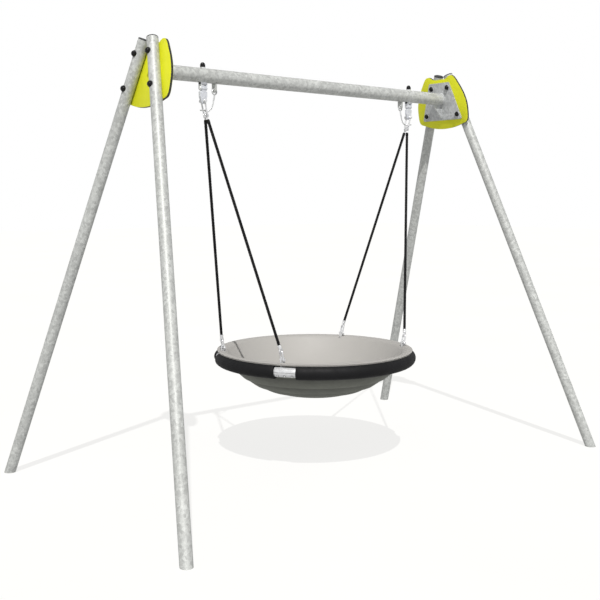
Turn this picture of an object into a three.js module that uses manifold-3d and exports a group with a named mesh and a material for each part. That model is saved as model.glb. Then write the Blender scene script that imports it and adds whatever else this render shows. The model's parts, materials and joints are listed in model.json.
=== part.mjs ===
// Saucer nest swing: a round bowl seat hung on four ropes from a crossbar that two splayed A-frames carry.
// Millimetres. +X runs along the crossbar, +Y to the rear, +Z up. The origin is on the ground, under the
// middle of the seat.
import * as THREE from 'three';
import { mergeVertices } from 'three/addons/utils/BufferGeometryUtils.js';
import Module from 'manifold-3d';

const wasm = await Module();
wasm.setup();

// ---------------------------------------------------------------- driving dimensions

const GAP = 0.3;                                   // between pieces that bear on each other
const FRAME = {
  topX: 1115, topY: 36, topZ: 2380,                // on a leg's axis, just above its top end
  footX: 1530, footY: 922,                         // centre of a leg's foot, on the ground
  legRadius: 30.15, legWall: 3.2,
  barRadius: 38.05, barWall: 3.6, barZ: 2216.5,
};
const PANEL = {
  thickness: 15,
  topHalf: 38, topDrop: 30,                        // flat stretch between the two humps
  edge: [                                          // on from there: handle, handle, point as [half, drop]
    [[64, 30], [69, 9], [95, 9]],                  // up to the hump
    [[119, 9], [130, 28], [150, 60]],              // down to the shoulder
    [[180, 106], [211, 163], [211, 225]],          // out to the widest place
    [[211, 285], [212, 312], [176, 318]],          // in to the lower corner
    [[116, 338], [70, 350], [0, 350]],             // and to the middle of the bottom
  ],
};
const PLATE = {
  thickness: 8,
  topDrop: 51, topHalf: 84,
  bottomDrop: 292, bottomHalf: 166,
  gussetThickness: 12, gussetReach: 70, gussetHeight: 86, gussetToe: 12, gussetTip: 18, gussetRoot: 10,
};
const BOLT = {
  drops: [85, 259],                                // down the slope from the leg's top end
  shankRadius: 6, holeRadius: 6.6,
  capRadius: 16.5, capHeight: 15, nutBore: 10, nutSkirt: 5,
};
const PLUG = { legCut: 12, flange: 6, chamfer: 1.5, depth: 18 };
const HANGER = {
  x: 788, pivotDrop: 28,                           // pivot axis below the underside of the crossbar
  earRadius: 13, earInner: 14, earOuter: 20, saddleRise: 18,
  pinRadius: 6, pinHead: 4, bushRadius: 9.6, boreRadius: 10, hubRadius: 13, hubHalf: 13.6,
  shoulderTop: 17, shoulderBottom: 46, shoulderHalf: 23, bodyHalf: 8,
  eyeDrop: 67, eyeRadius: 15,                      // sway pin below the swing pivot
  studRadius: 8, studReach: 12, nutBore: 16, nutPlay: 0.8, nutSkirt: 18, capRadius: 14, capHeight: 30,
};
const LUG = { inboard: 74, radius: 19, half: 4, holeRadius: 9 };
const CABLE = { radius: 4, topRing: 14, endRing: 16.5, endDrop: 48, slack: 14 };
const SHACKLE = {
  wire: 4.5, pinRadius: 6, pinHalf: 24, headRadius: 9, headLength: 5,
  half: 17, foot: 15, footBend: 9, drop: 77,       // half widths at the pin and at the flat bottom
};
const LINK = {
  wire: 4.5, pinRadius: 5, pinHalf: 16, headRadius: 8, headLength: 4,
  half: 10, bowHeight: 50,
};
const ROPE = {
  radius: 8,
  eyeRadius: 11, eyeTube: 3, eyeSpread: 7,         // the two upper eyes stand this far off the middle
  neckRadius: 3.2, topNeck: 26, footNeck: 12,
};
const SEAT = {
  ringRadius: 563, ringZ: 631,
  coreRadius: 17, coreWall: 3, boreRadius: 17.8, bumperRadius: 40,
  bowlBottom: 404, bowlThickness: 12, bowlPower: 2.9, bowlWall: 500, bowlWallZ: 575,
  rimInner: 42.3, rimThickness: 8, rimEndDegrees: 66,
  drainRadius: 5,
};
const CLAMP = {
  azimuthDegrees: 32.7, length: 120, inner: 21.5, outer: 28,
  eyeInset: 28,                                    // from the sleeve's middle towards the crossbar's plane
  eyeRise: 65, eyeReach: 63, eyeRadius: 15.5, eyeHole: 11.5, eyeHalf: 4,
  slotPlay: 3, slotInboard: 22, slotOutboard: 30,
  windowRadius: 6, boltRadius: 5.5, boltReach: 32, boltSpacing: 40,
};

const SIDES = [['right', 1], ['left', -1]];
const ENDS = [['front', -1], ['rear', 1]];
const PAST = 5;                                    // how far a cutting tool runs past what it opens
const PIPE_SEGMENTS = 24;
const RING_SEGMENTS = 36;
const HOOP_SEGMENTS = 6;
const ROUND_SEGMENTS = 12;
const BOLT_SEGMENTS = 8;
const WIRE_SEGMENTS = 6;
const EYE_SEGMENTS = 10;
const EYE_WIRE_SEGMENTS = 5;
const LUG_STEPS = 8;
const X_AXIS = new THREE.Vector3(1, 0, 0);
const Y_AXIS = new THREE.Vector3(0, 1, 0);
const Z_AXIS = new THREE.Vector3(0, 0, 1);

// ---------------------------------------------------------------- worked-out dimensions

const slopeAngle = Math.atan((FRAME.footX - FRAME.topX) / FRAME.topZ);
const slopeLength = FRAME.topZ / Math.cos(slopeAngle);
const legSpread = (FRAME.footY - FRAME.topY) / slopeLength;
const panelOuter = -(FRAME.legRadius + GAP);
const panelInner = panelOuter - PANEL.thickness;
const plateOuter = panelInner - GAP;
const plateInner = plateOuter - PLATE.thickness;
const barUnderside = FRAME.barZ - FRAME.barRadius;
const barTop = FRAME.barZ + FRAME.barRadius;
const pivotZ = barUnderside - HANGER.pivotDrop;
const swayZ = pivotZ - HANGER.eyeDrop;
const clampAzimuth = THREE.MathUtils.degToRad(CLAMP.azimuthDegrees);
const clampX = SEAT.ringRadius * Math.cos(clampAzimuth);
const clampY = SEAT.ringRadius * Math.sin(clampAzimuth);
const eyeY = clampY - CLAMP.eyeInset;
const clampEyeZ = SEAT.ringZ + CLAMP.eyeRise;
const linkLean = Math.atan((HANGER.x - clampX) / (swayZ - clampEyeZ));

// ---------------------------------------------------------------- materials

function material(color, roughness, metalness) {
  return new THREE.MeshStandardMaterial({ color, roughness, metalness });
}

const galvanised = material(0xa9adab, 0.55, 0.8);
const stainless = material(0xc9ccd0, 0.3, 0.9);
const castSteel = material(0xb5b9be, 0.45, 0.8);
const yellowBoard = material(0xd2d81c, 0.5, 0);
const blackPlastic = material(0x17181a, 0.45, 0);
const greyPlastic = material(0x6d7072, 0.6, 0);
const bronze = material(0x9c7a45, 0.4, 0.8);
const blackRope = material(0x101010, 0.85, 0);
const blackRubber = material(0x202124, 0.8, 0);
const greyRubber = material(0xc9c7c0, 0.7, 0);

// ---------------------------------------------------------------- solids

/** A closed geometry as a solid, with its faces turned outwards. A solid comes back as it is. */
function solid(shape) {
  if (!shape.isBufferGeometry) {
    return shape;
  }
  const bare = shape.clone();
  bare.deleteAttribute('normal');
  bare.deleteAttribute('uv');
  const weldDistance = 1e-3;
  const merged = mergeVertices(bare, weldDistance);
  const vertProperties = new Float32Array(merged.attributes.position.array);
  const triVerts = new Uint32Array(merged.index.array);
  if (signedVolume(vertProperties, triVerts) < 0) {
    for (let i = 0; i < triVerts.length; i += 3) {
      [triVerts[i], triVerts[i + 1]] = [triVerts[i + 1], triVerts[i]];
    }
  }
  return new wasm.Manifold(new wasm.Mesh({ numProp: 3, vertProperties, triVerts }));
}

function signedVolume(points, triangles) {
  const corner = (i) => new THREE.Vector3().fromArray(points, 3 * triangles[i]);
  let volume = 0;
  for (let i = 0; i < triangles.length; i += 3) {
    volume += corner(i).dot(corner(i + 1).cross(corner(i + 2))) / 6;
  }
  return volume;
}

/** The first shape with the others added to it. */
function join(first, ...others) {
  return others.reduce((whole, other) => whole.add(solid(other)), solid(first));
}

/** The first shape less each of the tools. */
function cut(body, ...tools) {
  return tools.reduce((rest, tool) => rest.subtract(solid(tool)), solid(body));
}

function toGeometry(body) {
  const mesh = body.getMesh();
  const geometry = new THREE.BufferGeometry();
  geometry.setAttribute('position', new THREE.BufferAttribute(new Float32Array(mesh.vertProperties), 3));
  geometry.setIndex(new THREE.BufferAttribute(new Uint32Array(mesh.triVerts), 1));
  geometry.computeVertexNormals();
  return geometry;
}

function piece(name, shape, look) {
  const mesh = new THREE.Mesh(toGeometry(solid(shape)), look);
  mesh.name = name;
  return mesh;
}

// ---------------------------------------------------------------- shapes

function box(x0, x1, y0, y1, z0, z1) {
  const geometry = new THREE.BoxGeometry(x1 - x0, y1 - y0, z1 - z0);
  return geometry.translate((x0 + x1) / 2, (y0 + y1) / 2, (z0 + z1) / 2);
}

/** A round bar from one point to another. */
function bar(from, to, radius, segments) {
  const span = to.clone().sub(from);
  const geometry = new THREE.CylinderGeometry(radius, radius, span.length(), segments);
  const turn = new THREE.Quaternion().setFromUnitVectors(Y_AXIS, span.clone().normalize());
  const middle = from.clone().addScaledVector(span, 0.5);
  return geometry.applyQuaternion(turn).translate(middle.x, middle.y, middle.z);
}

/** A pipe, open at both ends. */
function pipe(from, to, radius, wall, segments) {
  const past = to.clone().sub(from).setLength(1);
  const bore = bar(from.clone().sub(past), to.clone().add(past), radius - wall, segments);
  return cut(bar(from, to, radius, segments), bore);
}

/** A profile of [radius, height] points turned about the Z axis. */
function turned(profile, segments) {
  const points = profile.map(([radius, height]) => new THREE.Vector2(radius, height));
  return new THREE.LatheGeometry(points, segments).rotateX(Math.PI / 2);
}

/** The same, turned about the X axis: heights run along +X. */
function turnedAlongX(profile, segments) {
  return turned(profile, segments).rotateY(Math.PI / 2);
}

/** A ring of round wire about the Z axis. */
function ring(ringRadius, wireRadius, ringSegments, wireSegments) {
  const profile = [];
  for (let i = 0; i <= wireSegments; i += 1) {
    const angle = (2 * Math.PI * (i % wireSegments)) / wireSegments;
    profile.push([ringRadius + wireRadius * Math.cos(angle), wireRadius * Math.sin(angle)]);
  }
  return turned(profile, ringSegments);
}

/** Round wire along a curve, with flat ends. */
function wire(curve, radius, steps, segments) {
  const section = new THREE.Shape();
  section.absarc(0, 0, radius, 0, 2 * Math.PI);
  const half = segments / 2;
  return new THREE.ExtrudeGeometry(section, { extrudePath: curve, steps, curveSegments: half });
}

function hole(shape, x, y, radius) {
  const path = new THREE.Path();
  path.absarc(x, y, radius, 0, 2 * Math.PI);
  shape.holes.push(path);
}

/** An outline drawn in the YZ plane, thickened from x0 to x1. */
function plateAcrossX(shape, x0, x1, curveSegments) {
  const geometry = new THREE.ExtrudeGeometry(shape, { depth: x1 - x0, bevelEnabled: false, curveSegments });
  geometry.applyMatrix4(new THREE.Matrix4().makeBasis(Y_AXIS, Z_AXIS, X_AXIS));
  return geometry.translate(x0, 0, 0);
}

/** An outline drawn in the XZ plane, thickened evenly about y = 0. */
function plateAcrossY(shape, half, curveSegments) {
  const geometry = new THREE.ExtrudeGeometry(shape, { depth: 2 * half, bevelEnabled: false, curveSegments });
  return geometry.translate(0, 0, -half).rotateX(Math.PI / 2);
}

/** A lug outline: a round end about the origin and straight sides that run `reach` along +Y. */
function lugOutline(radius, reach, holeRadius) {
  const shape = new THREE.Shape();
  shape.moveTo(radius, reach);
  shape.lineTo(-radius, reach);
  shape.lineTo(-radius, 0);
  shape.absarc(0, 0, radius, Math.PI, 2 * Math.PI);
  hole(shape, 0, 0, holeRadius);
  return shape;
}

/** Points of a full dome from its base edge to its apex, as [radius, height]. */
function dome(radius, base, height) {
  const steps = 2;
  const points = [];
  for (let i = 0; i <= steps; i += 1) {
    const angle = (Math.PI / 2) * (i / steps);
    points.push([i === steps ? 0 : radius * Math.cos(angle), base + height * Math.sin(angle)]);
  }
  return points;
}

// ---------------------------------------------------------------- end frames
// A gable is one A-frame with its panel and plate. Its own axes are X outwards, square to the panel, Y to
// the rear and Z up the slope, from the level of the legs' top ends.

function gableMatrix() {
  const matrix = new THREE.Matrix4().makeRotationY(-slopeAngle);
  return matrix.setPosition(FRAME.topX, 0, FRAME.topZ);
}

function legPoint(end, drop) {
  return new THREE.Vector3(0, end * (FRAME.topY + legSpread * drop), -drop);
}

function boltBars(end, radius, from, to) {
  return BOLT.drops.map((drop) => {
    const centre = legPoint(end, drop);
    return bar(centre.clone().setX(from), centre.clone().setX(to), radius, BOLT_SEGMENTS);
  });
}

function legSolid(end) {
  const pastGround = 60;
  const belowGround = legPoint(end, slopeLength + pastGround);
  const top = legPoint(end, PLUG.legCut);
  const tube = pipe(top, belowGround, FRAME.legRadius, FRAME.legWall, PIPE_SEGMENTS);
  const reach = 2 * FRAME.footX;
  const ground = box(-reach, reach, -reach, reach, -reach, 0).applyMatrix4(gableMatrix().invert());
  const across = FRAME.legRadius + PAST;
  return cut(tube, ground, ...boltBars(end, BOLT.holeRadius, -across, across));
}

/** A plastic plug in the leg's square-cut top end, with a flange that covers the tube's wall. */
function legPlug(end) {
  const { legCut, flange, chamfer, depth } = PLUG;
  const radius = FRAME.legRadius - FRAME.legWall - 2 * GAP;
  const profile = [
    [0, -flange], [FRAME.legRadius - chamfer, -flange], [FRAME.legRadius, chamfer - flange],
    [FRAME.legRadius, -GAP], [radius, -GAP], [radius, depth], [0, depth],
  ];
  const start = legPoint(end, legCut);
  const down = legPoint(end, slopeLength).sub(start).normalize();
  const turn = new THREE.Quaternion().setFromUnitVectors(Z_AXIS, down);
  return turned(profile, ROUND_SEGMENTS).applyQuaternion(turn).translate(start.x, start.y, start.z);
}

/** The panel's outline: its edge down one side, then the same edge mirrored, back up the other. */
function panelOutline() {
  const { topHalf, topDrop, edge } = PANEL;
  const shape = new THREE.Shape();
  shape.moveTo(-topHalf, -topDrop);
  shape.lineTo(topHalf, -topDrop);
  for (const [first, second, end] of edge) {
    shape.bezierCurveTo(first[0], -first[1], second[0], -second[1], end[0], -end[1]);
  }
  const starts = [[topHalf, topDrop], ...edge.map(([, , end]) => end)];
  for (let i = edge.length - 1; i >= 0; i -= 1) {
    const [first, second] = edge[i];
    shape.bezierCurveTo(-second[0], -second[1], -first[0], -first[1], -starts[i][0], -starts[i][1]);
  }
  return shape;
}

function panel() {
  const curveSteps = 6;
  const board = plateAcrossX(panelOutline(), panelInner, panelOuter, curveSteps);
  const holes = ENDS.flatMap(([, end]) => {
    return boltBars(end, BOLT.holeRadius, panelInner - PAST, panelOuter + PAST);
  });
  return cut(board, ...holes);
}

/** The steel plate on the panel's inner side, with a gusset under the crossbar's end. */
function endPlate() {
  const p = PLATE;
  const shape = new THREE.Shape();
  shape.moveTo(-p.topHalf, -p.topDrop);
  shape.lineTo(p.topHalf, -p.topDrop);
  shape.lineTo(p.bottomHalf, -p.bottomDrop);
  shape.lineTo(-p.bottomHalf, -p.bottomDrop);
  shape.closePath();
  const flat = plateAcrossX(shape, plateInner, plateOuter, 1);
  const holes = ENDS.flatMap(([, end]) => {
    return boltBars(end, BOLT.holeRadius, plateInner - PAST, plateOuter + PAST);
  });
  const crossbarSpace = crossbarOutside(FRAME.barRadius + GAP).applyMatrix4(gableMatrix().invert());
  return cut(join(flat, gusset()), ...holes, cut(crossbarSpace, pastPlateFace(0)));
}

/** The triangular rib under the crossbar's end, between the bar and the plate, in the gable's axes. */
function gusset() {
  const { gussetThickness, gussetReach, gussetHeight, gussetToe, gussetTip, gussetRoot } = PLATE;
  const inboard = crossbarEndX() - gussetReach;
  const outboard = crossbarEndX() + gussetReach;
  const shape = new THREE.Shape();
  shape.moveTo(inboard, barUnderside + gussetRoot);
  shape.lineTo(outboard, barUnderside + gussetRoot);
  shape.lineTo(outboard, barUnderside - gussetHeight);
  shape.lineTo(crossbarEndX() + gussetTip, barUnderside - gussetHeight);
  shape.lineTo(inboard, barUnderside - gussetToe);
  shape.closePath();
  const rib = plateAcrossY(shape, gussetThickness / 2, 1);
  return cut(rib.applyMatrix4(gableMatrix().invert()), pastPlateFace(1));
}

/** Everything outboard of the plate's inner face, less a given depth, in the gable's axes. */
function pastPlateFace(depth) {
  const reach = 1000;
  return box(plateInner + depth, reach, -reach, reach, -reach, reach);
}

/** Where the crossbar's axis meets the plate's inner face. */
function crossbarEndX() {
  const rise = (FRAME.barZ - FRAME.topZ - plateInner * Math.sin(slopeAngle)) / Math.cos(slopeAngle);
  return FRAME.topX + plateInner * Math.cos(slopeAngle) - rise * Math.sin(slopeAngle);
}

/** A bolt through leg, panel and plate, with a black cap that sits on the leg. */
function legBolt(end, drop) {
  const { capRadius, capHeight, shankRadius, nutBore } = BOLT;
  const centre = legPoint(end, drop);
  const capBase = FRAME.legRadius + 1;
  const skirt = capBase - capRadius;
  const profile = [[0, skirt], [capRadius, skirt], ...dome(capRadius, capBase, capHeight)];
  const cap = turnedAlongX(profile, BOLT_SEGMENTS).translate(0, centre.y, centre.z);
  const legSpace = bar(legPoint(end, 0), legPoint(end, slopeLength), FRAME.legRadius + GAP, PIPE_SEGMENTS);
  const tip = centre.clone().setX(plateInner - nutBore + 2);
  const shank = bar(tip, centre.clone().setX(capBase + PAST), shankRadius, BOLT_SEGMENTS);
  return join(shank, cut(cap, legSpace));
}

/** A capped nut on the +Z axis: a blind bore under a dome, its base at z = -foot. */
function cappedNut(boreRadius, foot, { nutBore, nutSkirt, capRadius, capHeight }) {
  const profile = [
    [0, nutBore], [boreRadius, nutBore], [boreRadius, -foot], [capRadius, -foot],
    ...dome(capRadius, nutSkirt, capHeight - nutSkirt),
  ];
  return turned(profile, BOLT_SEGMENTS);
}

function legNut(end, drop) {
  const centre = legPoint(end, drop);
  const nut = cappedNut(BOLT.holeRadius, 0, BOLT);
  return nut.rotateY(-Math.PI / 2).translate(plateInner - GAP, centre.y, centre.z);
}

// ---------------------------------------------------------------- crossbar

/** The outside of the crossbar as one plain bar, longer than the real one. */
function crossbarOutside(radius) {
  const reach = FRAME.topX + 2 * FRAME.barRadius;
  const end = new THREE.Vector3(reach, 0, FRAME.barZ);
  return bar(end.clone().setX(-reach), end, radius, PIPE_SEGMENTS);
}

/** The crossbar: a pipe cut to the slope of the plates, with a safety lug welded under it at each hanger. */
function crossbar() {
  const lugs = SIDES.map(([, side]) => safetyLug(side));
  const studs = SIDES.map(([, side]) => studHole(side));
  const ends = SIDES.map(([, side]) => {
    const beyond = pastPlateFace(-GAP).applyMatrix4(gableMatrix());
    return side > 0 ? beyond : beyond.rotateZ(Math.PI);
  });
  const bore = crossbarOutside(FRAME.barRadius - FRAME.barWall);
  return cut(join(crossbarOutside(FRAME.barRadius), ...lugs), bore, ...studs, ...ends);
}

/** A round lug with its hole on the hangers' pivot axis, so that the safety cable turns with the hanger. */
function safetyLug(side) {
  const x = side * (HANGER.x - LUG.inboard);
  const shape = lugOutline(LUG.radius, HANGER.pivotDrop + LUG.radius / 2, LUG.holeRadius);
  return plateAcrossX(shape, x - LUG.half, x + LUG.half, LUG_STEPS).translate(0, 0, pivotZ);
}

function studHole(side) {
  const x = side * HANGER.x;
  const low = new THREE.Vector3(x, 0, barUnderside - PAST);
  return bar(low, low.clone().setZ(barTop + PAST), HANGER.studRadius + GAP, ROUND_SEGMENTS);
}

// ---------------------------------------------------------------- hangers, in the right half's place

/** The fork under the crossbar: a saddle, two ears that hold the pivot pin, and a stud through the bar. */
function clevis() {
  const { x, pivotDrop, earInner, earOuter, earRadius, saddleRise, pinRadius, studRadius } = HANGER;
  const intoBar = FRAME.barRadius / 2;
  const ears = [[earInner, earOuter], [-earOuter, -earInner]].map(([from, to]) => {
    const shape = lugOutline(earRadius, pivotDrop + intoBar, pinRadius + GAP);
    return plateAcrossX(shape, x + from, x + to, LUG_STEPS).translate(0, 0, pivotZ);
  });
  const saddleZ = pivotZ + saddleRise;
  const saddle = box(x - earOuter, x + earOuter, -earRadius, earRadius, saddleZ, barUnderside + intoBar);
  const studFoot = new THREE.Vector3(x, 0, saddleZ + 1);
  const stud = bar(studFoot, studFoot.clone().setZ(barTop + HANGER.studReach), studRadius, ROUND_SEGMENTS);
  return join(cut(join(saddle, ...ears), crossbarOutside(FRAME.barRadius + GAP)), stud);
}

/** The capped nut on top of the crossbar, shaped to the bar under it. */
function clevisNut() {
  const nut = cappedNut(HANGER.studRadius + HANGER.nutPlay, PAST, HANGER);
  return cut(nut.translate(HANGER.x, 0, barTop), crossbarOutside(FRAME.barRadius + GAP));
}

function pivotPin() {
  const { x, earOuter, pinRadius, pinHead } = HANGER;
  const reach = earOuter + GAP;
  const edge = reach + pinHead / 2;
  const tip = reach + pinHead;
  const headRadius = pinRadius + pinHead;
  const crownRadius = pinRadius + pinHead / 2;
  const profile = [
    [0, -tip], [crownRadius, -tip], [headRadius, -edge], [headRadius, -reach], [pinRadius, -reach],
    [pinRadius, reach], [headRadius, reach], [headRadius, edge], [crownRadius, tip], [0, tip],
  ];
  return turnedAlongX(profile, ROUND_SEGMENTS).translate(x, 0, pivotZ);
}

/** The bearing bush that turns on the pivot pin. */
function pivotBush() {
  const { x, hubHalf, bushRadius, pinRadius } = HANGER;
  const inner = pinRadius + GAP;
  const profile = [
    [inner, -hubHalf], [bushRadius, -hubHalf], [bushRadius, hubHalf], [inner, hubHalf], [inner, -hubHalf],
  ];
  return turnedAlongX(profile, ROUND_SEGMENTS).translate(x, 0, pivotZ);
}

/** The swinging arm: a hub on the pivot, broad shoulders below the fork, and an eye for the sway pin. */
function pendulum() {
  const h = HANGER;
  const shape = new THREE.Shape();
  shape.moveTo(h.hubHalf, 0);
  shape.lineTo(-h.hubHalf, 0);
  shape.lineTo(-h.hubHalf, -h.shoulderTop);
  shape.lineTo(-h.shoulderHalf, -h.shoulderTop);
  shape.lineTo(-h.shoulderHalf, -h.shoulderBottom);
  shape.lineTo(-h.eyeRadius, -h.eyeDrop);
  shape.absarc(0, -h.eyeDrop, h.eyeRadius, Math.PI, 2 * Math.PI);
  shape.lineTo(h.shoulderHalf, -h.shoulderBottom);
  shape.lineTo(h.shoulderHalf, -h.shoulderTop);
  shape.lineTo(h.hubHalf, -h.shoulderTop);
  shape.closePath();
  hole(shape, 0, -h.eyeDrop, SHACKLE.pinRadius + 2 * GAP);
  const body = plateAcrossY(shape, h.bodyHalf, LUG_STEPS);
  const [hub, bore] = [[h.hubRadius, h.hubHalf], [h.boreRadius, h.hubHalf + PAST]].map(([radius, half]) => {
    return turnedAlongX([[0, -half], [radius, -half], [radius, half], [0, half]], ROUND_SEGMENTS);
  });
  return toGeometry(cut(join(body, hub), bore)).translate(h.x, 0, pivotZ);
}

/** The safety cable: an eye through the crossbar's lug, a slack strand, an eye round the shackle's leg. */
function safetyCable() {
  const { radius, topRing, endRing, endDrop, slack } = CABLE;
  const lugX = HANGER.x - LUG.inboard;
  const end = shacklePoint(endDrop).setY(-shackleHalfWidth(endDrop));
  const topEye = wireEye(topRing, radius).rotateX(Math.PI / 2).translate(lugX, 0, pivotZ - topRing);
  const endEye = wireEye(endRing, radius).translate(end.x, end.y, end.z);
  const strandTop = pivotZ - 2 * topRing;
  const strandEnd = end.x - endRing;
  const strand = new THREE.CatmullRomCurve3([
    new THREE.Vector3(lugX, 0, strandTop),
    new THREE.Vector3(lugX + slack / 5, end.y / 4, (strandTop + end.z) / 2 + slack),
    new THREE.Vector3(lugX + slack, end.y / 2, end.z + slack),
    new THREE.Vector3((lugX + strandEnd) / 2 + slack, end.y, end.z - slack / 2),
    new THREE.Vector3(strandEnd, end.y, end.z),
  ]);
  const strandSteps = 8;
  return join(topEye, wire(strand, radius, strandSteps, WIRE_SEGMENTS), endEye);
}

/** A small ring about the Z axis, for the end of a cable or a rope. */
function wireEye(eyeRadius, wireRadius) {
  return ring(eyeRadius, wireRadius, EYE_SEGMENTS, EYE_WIRE_SEGMENTS);
}

// ---------------------------------------------------------------- shackles and ropes

/** A point in the upper shackle, at a depth under its pin: the shackle leans inboard with the ropes. */
function shacklePoint(depth) {
  const point = new THREE.Vector3(0, 0, -depth).applyAxisAngle(Y_AXIS, linkLean);
  return point.add(new THREE.Vector3(HANGER.x, 0, swayZ));
}

/** Half the shackle's width, between its wires' centres, at a depth under its pin. */
function shackleHalfWidth(depth) {
  const taper = THREE.MathUtils.smoothstep(depth, HANGER.eyeRadius, SHACKLE.drop - SHACKLE.footBend);
  return THREE.MathUtils.lerp(SHACKLE.half, SHACKLE.foot, taper);
}

/** A pin along the Y axis with a head at each end. */
function crossPin({ pinRadius, pinHalf, headRadius, headLength }) {
  const tip = pinHalf + headLength;
  const profile = [
    [0, -tip], [headRadius, -tip], [headRadius, -pinHalf], [pinRadius, -pinHalf],
    [pinRadius, pinHalf], [headRadius, pinHalf], [headRadius, tip], [0, tip],
  ];
  return turned(profile, BOLT_SEGMENTS).rotateX(Math.PI / 2);
}

/** A shackle's bow across the Y axis from half of its outline, whose last point is on the middle line. */
function bow(halfOutline, wireRadius, steps) {
  const otherHalf = halfOutline.slice(0, -1).map(([y, z]) => [-y, z]).reverse();
  const points = [...halfOutline, ...otherHalf].map(([y, z]) => new THREE.Vector3(0, y, z));
  return wire(new THREE.CatmullRomCurve3(points), wireRadius, steps, WIRE_SEGMENTS);
}

/** The long shackle under the arm: a bow that narrows downwards to a flat bottom, and the sway pin. */
function upperShackle() {
  const { foot, footBend, drop } = SHACKLE;
  const bendDepth = drop - footBend;
  const legDepths = [0, 1 / 4, 1 / 2, 3 / 4, 1].map((step) => step * bendDepth);
  const bendMiddle = footBend * (1 - Math.SQRT1_2);
  const outline = [
    ...legDepths.map((depth) => [shackleHalfWidth(depth), -depth]),
    [foot - bendMiddle, bendMiddle - drop], [foot - footBend, -drop], [0, -drop],
  ];
  const steps = 20;
  const whole = toGeometry(join(crossPin(SHACKLE), bow(outline, SHACKLE.wire, steps)));
  return whole.rotateY(linkLean).translate(HANGER.x, 0, swayZ);
}

/** The small shackle on a clamp's eye, leaning with the rope. */
function lowerShackle(end) {
  const { half, bowHeight } = LINK;
  const bendZ = bowHeight - half;
  const corner = half * Math.SQRT1_2;
  const outline = [[half, 0], [half, bendZ / 2], [half, bendZ], [corner, bendZ + corner], [0, bowHeight]];
  const steps = 12;
  const whole = toGeometry(join(crossPin(LINK), bow(outline, LINK.wire, steps)));
  return whole.rotateY(linkLean).translate(clampX, end * eyeY, clampEyeZ);
}

/** A rope between its two eyes, which hang in the shackles. */
function rope(end) {
  const { radius, eyeRadius, eyeTube, neckRadius, topNeck, footNeck, eyeSpread } = ROPE;
  const top = shacklePoint(SHACKLE.drop).setY(end * eyeSpread);
  const foot = new THREE.Vector3(0, 0, LINK.bowHeight).applyAxisAngle(Y_AXIS, linkLean);
  foot.add(new THREE.Vector3(clampX, end * eyeY, clampEyeZ));
  const up = top.clone().sub(foot).normalize();
  const eyes = [top, foot].map((centre) => {
    return wireEye(eyeRadius, eyeTube).rotateX(Math.PI / 2).translate(centre.x, centre.y, centre.z);
  });
  const shoulder = top.clone().addScaledVector(up, -topNeck);
  const neckFoot = shoulder.clone().addScaledVector(up, -PAST);
  const neckTop = top.clone().addScaledVector(up, -eyeRadius);
  const neck = bar(neckFoot, neckTop, neckRadius, BOLT_SEGMENTS);
  const strand = bar(foot.clone().addScaledVector(up, footNeck), shoulder, radius, EYE_SEGMENTS);
  return join(strand, neck, ...eyes);
}

// ---------------------------------------------------------------- seat

/** A circle in the ring's cross-section, turned round the seat's axis. */
function seatRing(wireRadius, wireSegments) {
  return ring(SEAT.ringRadius, wireRadius, RING_SEGMENTS, wireSegments).translate(0, 0, SEAT.ringZ);
}

/** Height of the bowl's underside: nearly flat in the middle and steep at the edge. */
function undersideZ(radius) {
  const depth = SEAT.bowlWallZ - SEAT.bowlBottom;
  return SEAT.bowlBottom + depth * (radius / SEAT.bowlWall) ** SEAT.bowlPower;
}

/** Points of the rim's arc over the bumper, from the inner side outwards, as [radius, height]. */
function rimArc(arcRadius) {
  const steps = 4;
  const points = [];
  for (let i = 0; i <= steps; i += 1) {
    const degrees = THREE.MathUtils.lerp(180, SEAT.rimEndDegrees, i / steps);
    const angle = THREE.MathUtils.degToRad(degrees);
    points.push([SEAT.ringRadius + arcRadius * Math.cos(angle), SEAT.ringZ + arcRadius * Math.sin(angle)]);
  }
  return points;
}

/** The bowl: a dished shell whose rim folds over the bumper, slotted where the clamps' eyes pass. */
function bowl() {
  const { bowlWall, bowlThickness, rimInner, rimThickness } = SEAT;
  const wallThickening = 0.4;
  const innerWall = bowlWall - (1 + wallThickening) * bowlThickness;
  const steps = [0, 0.3, 0.5, 0.7, 0.85, 1];
  const underside = steps.map((step) => [step * bowlWall, undersideZ(step * bowlWall)]);
  const inside = steps.map((step) => {
    const thickness = bowlThickness * (1 + wallThickening * step);
    return [step * innerWall, undersideZ(step * innerWall) + thickness];
  });
  const profile = [
    ...underside, ...rimArc(rimInner), ...rimArc(rimInner + rimThickness).reverse(), ...inside.reverse(),
  ];
  return cut(turned(profile, RING_SEGMENTS), ...eyeSlots());
}

/** The rim's slots, one for each clamp's eye. */
function eyeSlots() {
  const half = CLAMP.eyeHalf + CLAMP.slotPlay;
  const low = SEAT.ringZ + SEAT.coreRadius;
  const high = clampEyeZ;
  return SIDES.flatMap(([, side]) => ENDS.map(([, end]) => {
    const inner = clampX - CLAMP.slotInboard;
    const outer = clampX + CLAMP.slotOutboard;
    const [from, to] = side > 0 ? [inner, outer] : [-outer, -inner];
    return box(from, to, end * eyeY - half, end * eyeY + half, low, high);
  }));
}

/** The steel hoop inside the bumper: a tube with drain holes on its underside. */
function ringCore() {
  const drains = [0, 90, 180, 270].map((degrees) => {
    const angle = THREE.MathUtils.degToRad(degrees);
    const x = SEAT.ringRadius * Math.cos(angle);
    const y = SEAT.ringRadius * Math.sin(angle);
    const low = new THREE.Vector3(x, y, SEAT.ringZ - SEAT.coreRadius - PAST);
    return bar(low, low.clone().setZ(SEAT.ringZ), SEAT.drainRadius, BOLT_SEGMENTS);
  });
  const outside = seatRing(SEAT.coreRadius, HOOP_SEGMENTS);
  return cut(outside, seatRing(SEAT.coreRadius - SEAT.coreWall, HOOP_SEGMENTS), ...drains);
}

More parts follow.
